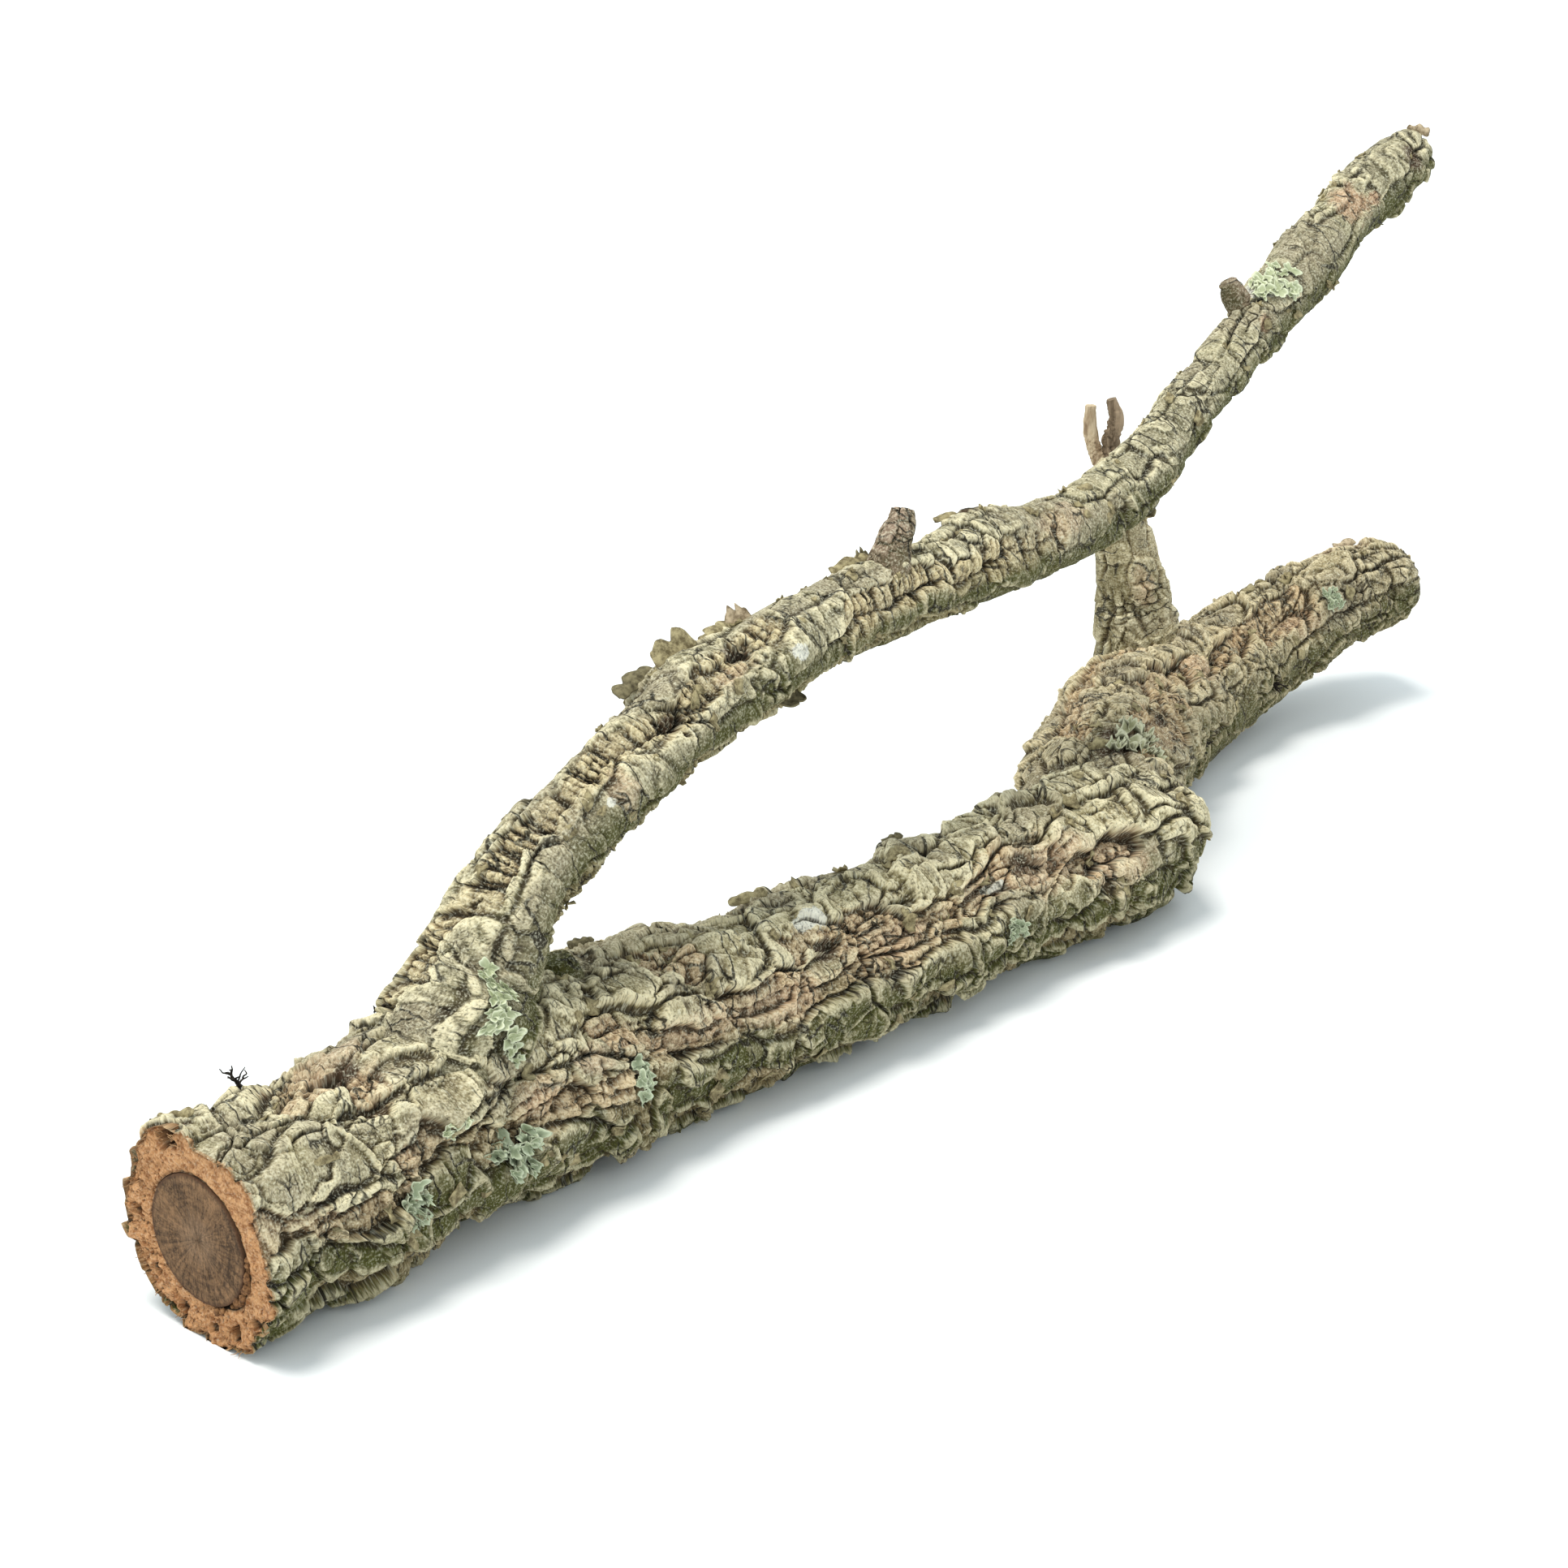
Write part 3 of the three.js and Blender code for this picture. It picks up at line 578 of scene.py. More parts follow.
blurReach = 2.0  # mm on each side that the bark is smoothed over, to find what stands out and what lies deep


def barkGrid(limb):
    # the limb's skin as a grid of rings, middle + (radius + relief) * outward, with its material's masks;
    # cavity is how far the relief stands over its running mean
    rings, sides = limb["grid"]
    length = limbLength(limb)
    along = np.linspace(0, length, rings)
    middle, _, side, top, girth = limbFrame(limb, along)
    alongGrid, angleGrid = ringGrid(along, sides)
    radius = np.broadcast_to(girth[:, None], alongGrid.shape)
    relief, masks = barkRelief(limb, alongGrid, angleGrid, radius)
    outward = outwardAt(angleGrid, side[:, None], top[:, None])
    points = middle[:, None] + (radius + relief)[..., None] * outward
    ringsReach = max(1, round(blurReach * rings / length))
    sidesReach = max(1, round(blurReach * sides / (2 * math.pi * float(girth.mean()))))
    # cavity is low in hollows, where the material paints shade, and high on edges, where it paints a
    # highlight
    cavity = relief - boxBlur(relief, ringsReach, sidesReach)
    masks["cavity"] = np.clip(0.5 + cavity / 1.6, 0, 1)
    # low is 1 where the bark faces down; the material paints shade there, with olive growth
    ragged = 0.25 * noise(masks["straight"], 22, limb["salt"] + 30)
    masks["low"] = smoothStep(0.55, -0.45, outward[..., 2] + ragged)
    masks["face"] = np.zeros(alongGrid.shape)
    for kind in ("blush", "white", "stain", "orange", "pale"):
        patches = limb["stains"].get(kind, [])
        masks[kind] = patchMask(masks["straight"], alongGrid, angleGrid, radius, patches, limb["salt"])
    masks["tone"] = masks["tone"] + 0.4 * masks.pop("pale")
    return points, masks


def patchMask(straight, along, angle, radius, patches, salt):
    # soft-edged stains: from 1 at each patch's centre to 0 where the distance over its reach, plus a noise,
    # is 1.15
    total = np.zeros(along.shape)
    border = 0.4 * roughNoise(straight, 6, 3, salt + 40)
    for patchAlong, patchAngle, reachAlong, reachAround in patches:
        around = arcLength(angle, patchAngle, radius)
        distance = np.hypot((along - patchAlong) / reachAlong, around / reachAround)
        total = np.maximum(total, smoothStep(1.15, 0.55, distance + border))
    return total


# Meshes


def signedVolume(points, faces):
    # volume inside the faces, a sixth of the sum of a . (b x c) over their triangles; negative when they
    # face inwards
    total = 0.0
    for corners in (3, 4):
        chosen = np.array([face for face in faces if len(face) == corners], dtype=int).reshape(-1, corners)
        first = points[chosen[:, 0]]
        for k in range(1, corners - 1):
            total += np.einsum("ij,ij->", first, np.cross(points[chosen[:, k]], points[chosen[:, k + 1]]))
    return total / 6


def placed(name, data):
    # a new object with this data, linked to the scene
    made = bpy.data.objects.new(name, data)
    bpy.context.scene.collection.objects.link(made)
    return made


def addPiece(name, points, faces, material, node, attributes=None, smooth=True):
    # a mesh from millimetre points, with number or vector attributes on its points
    points = np.asarray(points, dtype=float).reshape(-1, 3)
    if signedVolume(points - points.mean(axis=0), faces) < 0:
        faces = [tuple(reversed(face)) for face in faces]
    mesh = bpy.data.meshes.new(name)
    mesh.from_pydata((points + originShift) * mm, [], faces)
    for key, values in (attributes or {}).items():
        values = np.asarray(values, dtype=np.float32).ravel()
        kind, field = ("FLOAT", "value") if len(values) == len(points) else ("FLOAT_VECTOR", "vector")
        mesh.attributes.new(key, kind, "POINT").data.foreach_set(field, values)
    if smooth:
        mesh.shade_smooth()
    mesh.materials.append(material)
    piece = placed(name, mesh)
    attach(piece, "root")
    if node:
        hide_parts(node)
    return piece


def tubeFaces(rings, sides, start=0):
    # quads between rings that close round the tube, then fans to the two end points that follow the grid
    i, j = np.meshgrid(np.arange(rings - 1), np.arange(sides), indexing="ij")
    near, far = i * sides + j, (i + 1) * sides + j
    nearNext, farNext = i * sides + (j + 1) % sides, (i + 1) * sides + (j + 1) % sides
    quads = np.stack([near, nearNext, farNext, far], axis=-1).reshape(-1, 4) + start
    k = np.arange(sides)
    firstFan = np.stack([np.full(sides, rings * sides), (k + 1) % sides, k], axis=-1) + start
    lastRing = (rings - 1) * sides
    lastPole = np.full(sides, rings * sides + 1)
    lastFan = np.stack([lastPole, lastRing + k, lastRing + (k + 1) % sides], axis=-1)
    return quads.tolist() + firstFan.tolist() + (lastFan + start).tolist()


def withPoles(grid):
    # a tube's points, followed by the middle of its first and of its last ring
    grid = grid if grid.ndim == 3 else grid[..., None]
    return np.vstack([grid.reshape(-1, grid.shape[-1]), grid[0].mean(axis=0), grid[-1].mean(axis=0)])


def tubePiece(name, points, masks, material, node, smooth=True):
    # a closed tube from a grid of rings, with its masks on its points
    faces = tubeFaces(*points.shape[:2])
    attributes = {kind: withPoles(values) for kind, values in masks.items()}
    return addPiece(name, withPoles(points), faces, material, node, attributes, smooth)


def limbPiece(name, limb, material, node, grid=None):
    # the limb's skin, in pieces that meet ring to ring; flat facets keep its broken edges crisp
    points, masks = grid or barkGrid(limb)
    points[..., 2] = np.maximum(points[..., 2], 0.0)  # worn flat where it lies on the ground
    cuts = np.linspace(0, len(points) - 1, limb["pieces"] + 1).astype(int)
    for k, (first, last) in enumerate(zip(cuts, cuts[1:])):
        part = slice(first, last + 1)
        suffix = "." + str(k + 1) if limb["pieces"] > 1 else ""
        partMasks = {kind: values[part] for kind, values in masks.items()}
        tubePiece(name + suffix, points[part], partMasks, material, node, False)


def shellPiece(name, shells, material, node=None, attributes=None, lowest=None):
    # several closed shells, each (rings, sides, 3), as one piece with no point lower than `lowest`
    points, faces, start = [], [], 0
    for shell in shells:
        points.append(withPoles(shell))
        faces += tubeFaces(*shell.shape[:2], start)
        start += len(points[-1])
    points = np.vstack(points)
    if lowest is not None:
        points[:, 2] = np.maximum(points[:, 2], lowest)
    addPiece(name, points, faces, material, node, attributes)


# Shader maths


class Value:
    # one output socket of a material; + - * on it add Math nodes

    def __init__(self, shader, socket):
        self.shader, self.socket = shader, socket

    def math(self, operation, *others):
        # a Math node on this value and the others
        return self.shader.add("ShaderNodeMath", {"operation": operation}, [self, *others])

    def __add__(self, other):
        return self.math("ADD", other)

    def __mul__(self, other):
        return self.math("MULTIPLY", other)

    def __sub__(self, other):
        return self.math("SUBTRACT", other)

    def __rsub__(self, other):
        return self.shader.add("ShaderNodeMath", {"operation": "SUBTRACT"}, [other, self])

    __radd__, __rmul__ = __add__, __mul__

    def clamp(self):
        # the same value, kept between 0 and 1
        return self.shader.add("ShaderNodeMath", {"operation": "ADD", "use_clamp": True}, [self, 0.0])

    def ramp(self, low, high):
        # smooth step from 0 at low to 1 at high
        settings = {"interpolation_type": "SMOOTHSTEP"}
        return self.shader.add("ShaderNodeMapRange", settings, [self, low, high, 0.0, 1.0])


class Shader:
    # a material's node tree

    def __init__(self, name, roughness=0.9):
        self.material = bpy.data.materials.new(name)
        self.material.use_nodes = True
        self.tree = self.material.node_tree
        self.surface = self.tree.nodes["Principled BSDF"]
        self.surface.inputs["Roughness"].default_value = roughness
        self.surface.inputs["Specular IOR Level"].default_value = 0.25

    def put(self, socket, value):
        # a link from another node's output, or a plain value
        if isinstance(value, Value):
            self.tree.links.new(value.socket, socket)
        elif hasattr(socket.default_value, "__len__"):
            socket.default_value = (*value, 1.0)[:len(socket.default_value)]
        else:
            socket.default_value = value

    def add(self, kind, settings=None, inputs=(), output=0):
        # any node: its settings first, then the values or links of its sockets, by place or by name
        node = self.tree.nodes.new(kind)
        for key, value in (settings or {}).items():
            setattr(node, key, value)
        pairs = inputs.items() if isinstance(inputs, dict) else enumerate(inputs)
        for key, value in pairs:
            self.put(node.inputs[key], value)
        return Value(self, node.outputs[output])

    def attribute(self, name, output="Fac"):
        # a mask or place that the mesh carries on its points
        return self.add("ShaderNodeAttribute", {"attribute_name": name}, (), output)

    def place(self):
        # the point's own coordinates, in metres
        return self.add("ShaderNodeTexCoord", None, (), "Object")

    def mix(self, factor, first, second):
        # first where the factor is 0 and second where it is 1; the numbers are the node's colour sockets
        return self.add("ShaderNodeMix", {"data_type": "RGBA"}, {0: factor, 6: first, 7: second}, 2)

    def stretched(self, vector, scale):
        # the place times a scale of its own on each axis
        return self.add("ShaderNodeVectorMath", {"operation": "MULTIPLY"}, [vector, scale])

    def shifted(self, vector, offset, amount):
        # the place moved by an amount of a noise's colour
        scaled = self.add("ShaderNodeVectorMath", {"operation": "SCALE"}, {0: offset, "Scale": amount})
        return self.add("ShaderNodeVectorMath", {"operation": "ADD"}, [vector, scaled])

    def cloud(self, vector, scale, detail=3.0, roughness=0.55, output=0):
        # noise from 0 to 1 with `scale` waves to a unit of the place
        inputs = {"Vector": vector, "Scale": scale, "Detail": detail, "Roughness": roughness}
        return self.add("ShaderNodeTexNoise", None, inputs, output)

    def cells(self, vector):
        # distance from the edges of cells about 1 wide
        inputs = {"Vector": vector, "Scale": 1.0}
        return self.add("ShaderNodeTexVoronoi", {"feature": "DISTANCE_TO_EDGE"}, inputs)

    def finish(self, colour, height, strength=0.6, distance=0.0006, roughness=None):
        # the colour, and bumps as high as `distance` metres
        self.put(self.surface.inputs["Base Color"], colour)
        inputs = {"Strength": strength, "Distance": distance, "Height": height}
        bump = self.add("ShaderNodeBump", None, inputs)
        self.put(self.surface.inputs["Normal"], bump)
        if roughness is not None:
            self.put(self.surface.inputs["Roughness"], roughness)
        return self.material


def paint(red, green, blue):
    # a colour as the eye reads it, 0 to 255, as the renderer's linear values
    values = [channel / 255 for channel in (red, green, blue)]
    return tuple(v / 12.92 if v <= 0.04045 else ((v + 0.055) / 1.055) ** 2.4 for v in values)


# Materials

barkLook = {
    "crust": (176, 160, 116),
    # worn pale crust, also a painted highlight on high places
    "crustWearAndHighlight": (242, 228, 188),
    "crustDark": (88, 76, 52),
    "grey": (158, 144, 118),
    # olive growth, made darker as painted shade for the downward-facing side
    "oliveAndUnderShade": (78, 78, 26),
    "cork": (234, 204, 162),
    # dark cork, for its stripes and as painted shade in its hollows
    "corkDarkAndShade": (152, 117, 86),
    # painted shade, with some dirt, for the hollows
    "dirtAndShade": (56, 43, 27),
    # painted shade for the slits and cracks
    "deep": (28, 21, 14),
    "blush": (214, 178, 146),
    "orange": (206, 160, 126),
    "white": (238, 234, 220),
    "stain": (82, 60, 43),
    "faceCork": (210, 157, 108),
    # a painted shaded copy of the sawn cork
    "faceCorkShaded": (148, 96, 56),
}
darkGrain = (0.05, 0.042, 0.022)  # linear colours of the finest grain, so they are not painted
paleGrain = (0.9, 0.85, 0.64)


def barkMaterial(name, look, oliveShare=1.0, striation=1.0):
    # weathered crust, paler on worn high places and with a painted highlight there, olive low down from
    # growth and painted shade on the downward-facing side, over cork that shows in the furrows
    shader = Shader(name, 0.92)
    colours = {key: paint(*value) for key, value in {**barkLook, **look}.items()}
    straight = shader.attribute("straight", "Vector")
    cavity, slits, cork = (shader.attribute(key) for key in ("cavity", "slits", "cork"))
    tone, low, face = (shader.attribute(key) for key in ("tone", "low", "face"))
    blush, white, stain, orange = (shader.attribute(key) for key in ("blush", "white", "stain", "orange"))
    drift = shader.cloud(straight, 0.16, 2.0, 0.5, "Color")
    wandering = shader.shifted(straight, drift, 5.0)
    mottle = shader.cloud(straight, 0.2, 4.0, 0.62)
    blotch = shader.cloud(straight, 0.055, 3.0, 0.5)
    speckle = shader.cloud(straight, 1.7, 4.0, 0.7)
    # thin cracks across the limb, in some places only
    cracksNet = shader.cells(shader.stretched(wandering, (0.16, 0.05, 0.05)))
    crackPlace = shader.cloud(straight, 0.085, 2.0, 0.5).ramp(0.44, 0.54)
    thinCrack = (1 - cracksNet.ramp(0.01, 0.035)) * crackPlace
    fineNet = shader.cells(shader.stretched(wandering, (0.42, 0.26, 0.26)))
    finePlace = shader.cloud(straight, 0.13, 2.0, 0.5).ramp(0.53, 0.66)
    fineCrack = (1 - fineNet.ramp(0.008, 0.04)) * finePlace
    # striations of the crust and of the laminated cork, which run around the limb
    lines = shader.cloud(shader.stretched(wandering, (1.9, 0.2, 0.2)), 1.0, 4.0, 0.65)
    fibres = shader.cloud(shader.stretched(wandering, (4.0, 0.5, 0.5)), 1.0, 2.0, 0.6)

    crustTone = (tone * 0.8 + mottle * 1.0 + blotch * 2.6 - 1.75).clamp()
    crust = shader.mix(crustTone, colours["crustDark"], colours["crust"])
    # pale on high, convex places: worn edges and a painted highlight; less of it on the downward-facing side,
    # as painted shade
    wearAndHighlight = (cavity * 2.0 - 1.08 + speckle * 0.4 + lines * 0.5 - low * 0.3).clamp()
    crust = shader.mix(wearAndHighlight * 0.95, crust, colours["crustWearAndHighlight"])
    greyPlace = shader.cloud(straight, 0.04, 2.0, 0.5).ramp(0.47, 0.6) * (1 - low)
    crust = shader.mix(greyPlace * 0.6, crust, colours["grey"])
    # olive low down: green growth and painted shade on the downward-facing side
    greenAndUnderShade = (low * 1.3 + mottle.ramp(0.42, 0.7) * 0.4 + blotch * 0.6 - 0.34).clamp() * oliveShare
    crust = shader.mix(greenAndUnderShade * (1.1 - wearAndHighlight * 0.6).clamp(), crust, colours["oliveAndUnderShade"])
    # the cork's dark stripes, with painted shade where its relief lies low
    corkLinesAndShade = (lines * 1.3 - 0.2 + (cavity - 0.5) * 1.4).clamp()
    corkColour = shader.mix(corkLinesAndShade, colours["corkDarkAndShade"], colours["cork"])
    # the cork low down also takes the olive: growth and painted shade
    corkColour = shader.mix(low * 0.6 * oliveShare, corkColour, colours["oliveAndUnderShade"])
    colour = shader.mix((cork * 1.3 - 0.1 + (mottle - 0.5)).clamp() * 0.85, crust, corkColour)
    blushLines = shader.mix(lines, colour, colours["blush"])
    colour = shader.mix(blush * (mottle * 1.6 - 0.1).clamp(), colour, blushLines)
    patchy = white * 1.5 - mottle * 1.5 - (lines - 0.5) * 2.0
    colour = shader.mix(patchy.clamp().ramp(0.2, 0.5) * 0.9, colour, colours["white"])
    colour = shader.mix(orange * (0.2 + speckle * 0.9).clamp(), colour, colours["orange"])
    # the sawn ring of cork at the end: two tones of cork, the darker a painted shaded copy laid where the
    # fuzz bump lies low
    fuzz = shader.cloud(straight, 0.42, 4.0, 0.74)
    faceColour = shader.mix(fuzz.ramp(0.34, 0.6), colours["faceCorkShaded"], colours["faceCork"])
    colour = shader.mix(face, colour, faceColour)
    colour = shader.mix(stain * (0.55 + mottle).clamp(), colour, colours["stain"])
    # painted shade, with some real dirt, darkens the hollows where cavity is low; painted shade also darkens
    # the slits and thin cracks
    colour = shader.mix((1 - cavity.ramp(0.05, 0.48)) * 0.78, colour, colours["dirtAndShade"])
    colour = shader.mix(slits.ramp(0.3, 0.9) * 0.85, colour, colours["deep"])
    colour = shader.mix((thinCrack * 0.9 + fineCrack * 0.6).clamp() * (1 - face), colour, colours["deep"])
    pepper = shader.cloud(straight, 1.5, 1.0, 0.5)
    grain = (speckle - 0.5) * 1.5 + (fibres - 0.5) * 0.8 + (lines - 0.5) * 0.8 + (pepper - 0.5) * 1.8
    grain = grain * (1 - face * 0.65)
    darker = (0.0 - grain).clamp()
    colour = shader.mix(darker * 1.25, colour, darkGrain)
    # the pale grain fades on the downward-facing side, as painted shade
    colour = shader.mix(grain.clamp() * (0.98 - low * 0.4), colour, paleGrain)

    height = speckle * 0.6 + mottle * 0.5 + (lines * 0.8 + fibres * 0.4) * striation + pepper * 0.3
    height = height - (thinCrack * 1.8 + fineCrack * 0.9) * (1 - face) + fuzz * face
    return shader.finish(colour, height, 0.8, 0.0009, 0.84 + mottle * 0.12)


woodLook = {
    "wood": (138, 105, 74),
    "woodDark": (66, 48, 32),
    "heart": (162, 134, 108),
    "rim": (76, 50, 32),
}


def woodMaterial():
    # end grain: fine rays and faint rings round a paler, greyer heart, with a dark rim
    shader = Shader("heartwood", 0.85)
    colours = {key: paint(*value) for key, value in woodLook.items()}
    polar, reach = shader.attribute("polar", "Vector"), shader.attribute("reach")
    flat = shader.attribute("straight", "Vector")
    rays = shader.cloud(polar, 1.0, 4.0, 0.65)
    fibres = shader.cloud(shader.stretched(flat, (1.0, 0.35, 1.6)), 0.9, 4.0, 0.7)
    rings = shader.cloud(shader.stretched(polar, (5.0, 0.08, 0.08)), 1.0, 2.0, 0.5)
    blotch = shader.cloud(flat, 0.12, 2.0, 0.5)
    grit = shader.cloud(flat, 1.6, 2.0, 0.6)
    tone = (rays * 2.0 + fibres * 2.0 + rings * 0.9 + blotch * 1.2 + grit * 1.4 - 3.3).clamp()
    colour = shader.mix(tone, colours["woodDark"], colours["wood"])
    heart = (1 - reach.ramp(0.0, 0.6)) * (fibres * 1.6 - 0.3)
    colour = shader.mix(heart.clamp() * 0.75, colour, colours["heart"])
    colour = shader.mix(reach.ramp(0.92, 1.0) * 0.8, colour, colours["rim"])
    return shader.finish(colour, rays + fibres * 0.8, 0.5, 0.0005)


lichenLook = {
    "lobe": (204, 208, 172),
    "shade": (158, 164, 128),
    # a painted highlight along the rims
    "rim": (232, 234, 204),
    # painted shade on the undersides of the lobes
    "under": (46, 42, 28),
}


def lichenMaterial(name, look):
    # matte mint-grey crust, with painted shade towards the middle of each lobe, a painted highlight along the
    # scalloped rims and painted shade on the lobes' undersides
    shader = Shader(name, 0.95)
    colours = {key: paint(*value) for key, value in {**lichenLook, **look}.items()}
    rim, under = shader.attribute("rim"), shader.attribute("under")
    place = shader.place()
    mottle = shader.cloud(place, 420.0, 4.0, 0.65)
    colour = shader.mix((mottle * 0.9 + rim * 0.7 - 0.45).clamp(), colours["shade"], colours["lobe"])
    colour = shader.mix(rim.ramp(0.72, 0.98) * 0.8, colour, colours["rim"])
    colour = shader.mix(under, colour, colours["under"])
    return shader.finish(colour, mottle, 0.5, 0.0004)


def plainMaterial(name, pale, dark, scale=600.0, stretch=(1, 1, 1), roughness=0.9):
    # two tones clouded over each other
    shader = Shader(name, roughness)
    mottle = shader.cloud(shader.stretched(shader.place(), stretch), scale, 4.0, 0.65)
    colour = shader.mix(mottle.ramp(0.3, 0.68), paint(*dark), paint(*pale))
    return shader.finish(colour, mottle, 0.6, 0.0005)


# some looks below also change the painted highlight and the painted shade colours, beside the crust's own
# tones
corkBark = barkMaterial("corkBark", {})
rearLook = {
    "crust": (172, 153, 112),
    "crustWearAndHighlight": (226, 207, 166),
    "cork": (222, 190, 146),
    "dirtAndShade": (78, 61, 39),
    "deep": (50, 38, 25),
}
rearBark = barkMaterial("rearBark", rearLook, 0.85)
thinLook = {
    "crust": (150, 140, 106),
    "crustDark": (80, 72, 50),
    "cork": (228, 208, 162),
    "corkDarkAndShade": (140, 115, 80),
}
thinBark = barkMaterial("thinBark", thinLook, 0.9, 0.9)
twigLook = {
    "crust": (214, 192, 148),
    "crustWearAndHighlight": (246, 232, 194),
    "crustDark": (124, 108, 78),
    "dirtAndShade": (88, 70, 46),
}
twigBark = barkMaterial("twigBark", twigLook, 0.5, 1.1)
spurBark = barkMaterial("spurBark", {"crust": (150, 128, 106), "crustWearAndHighlight": (206, 176, 152)}, 0.3, 0.8)
paleProng = plainMaterial("paleProng", (212, 192, 160), (142, 116, 88), 300.0, (1, 1, 0.2))
brownProng = plainMaterial("brownProng", (166, 144, 118), (92, 76, 58), 300.0, (1, 1, 0.2))
endGrain = woodMaterial()
mintLichen = lichenMaterial("mintLichen", {})
# these looks also set the lobes' painted shade and the rims' painted highlight
creamLook = {"lobe": (196, 194, 160), "rim": (218, 216, 186), "shade": (128, 126, 92)}
creamLichen = lichenMaterial("creamLichen", creamLook)
greyLook = {"lobe": (184, 192, 162), "rim": (212, 218, 188), "shade": (136, 144, 114)}
greyLichen = lichenMaterial("greyLichen", greyLook)
flakeBark = plainMaterial("flakeBark", (180, 166, 126), (98, 86, 60), 500.0)
darkFlake = plainMaterial("darkFlake", (130, 120, 90), (68, 60, 42), 500.0)
rosyFlake = plainMaterial("rosyFlake", (198, 178, 148), (116, 98, 74), 500.0)
brownCork = plainMaterial("brownCork", (150, 108, 70), (78, 50, 30), 700.0)
hairBlack = plainMaterial("hairBlack", (54, 46, 38), (24, 20, 17), 500.0)
fibreTan = plainMaterial("fibreTan", (190, 150, 108), (120, 88, 60), 500.0)
print("materials made")

# Sawn end of the stem

# woodRadius, innerRadius: the wood at the cut, and where it ends woodDepth further in. gap: round the wood.
# splits: angle, spread and width between wood and cork. pits: angle, distance from the middle, depth, size.
# boreDepths, wallDepths: the rings of the bore and of the wood's side. crumbs: how many fill the split.
sawnEnd = {
    "woodRadius": 17.0,
    "innerRadius": 11.0,
    "woodDepth": 330.0,
    "gap": 0.15,
    "splits": [(118, 24, 2.2), (146, 14, 1.0), (84, 14, 0.5)],
    "pits": [
        (151, 24.5, 6, 1.9), (-22, 26.5, 8, 3.0), (128, 25, 2.5, 1.4), (170, 23, 2, 1.4),
        (200, 23.5, 2, 1.6), (-90, 23, 1.6, 1.6), (-130, 22.5, 2, 1.6), (62, 24, 1.2, 1.2),
        (104, 26, 2, 1.3),
    ],
    "boreDepths": [50, 25, 14, 9, 6, 4, 2.6, 1.5, 0.7],
    "wallDepths": [1.6, 3, 6, 12, 30, 80, 160, 250, 330],
    "faceRings": 30,
    "woodRings": 46,
    "woodSides": 160,
    "crumbs": 46,
}


def woodRadiusAt(depth):
    # the wood's radius, which tapers evenly from woodRadius at the cut to innerRadius at its inner end
    share = np.clip(depth / sawnEnd["woodDepth"], 0, 1)
    return sawnEnd["woodRadius"] + (sawnEnd["innerRadius"] - sawnEnd["woodRadius"]) * share


def splitWidth(angle, depth):
    # how far the cork stands back from the wood: most * exp(-(angle off / spread)^2) for each split, times
    # exp(-(depth / 6)^2), so near the mouth only
    width = np.full(angle.shape, 0.05)
    for splitAngle, spread, most in sawnEnd["splits"]:
        width = width + most * np.exp(-((wrapDegrees(angle - splitAngle) / spread) ** 2))
    ragged = 1 + 0.5 * np.sin(angle / 9.0) * np.sin(angle / 23.0 + 1)
    return width * ragged * np.exp(-((depth / 6.0) ** 2))


def facePoints(angle, reach, depth):
    # points of the stem's cut end, middle + reach * outward at each depth; negative depths stand out
    middle, tangent, side, top, _ = limbFrame(stem, np.maximum(depth, 0))
    behind = np.minimum(depth, 0)[..., None] * tangent
    return middle + reach[..., None] * outwardAt(angle, side, top) + behind


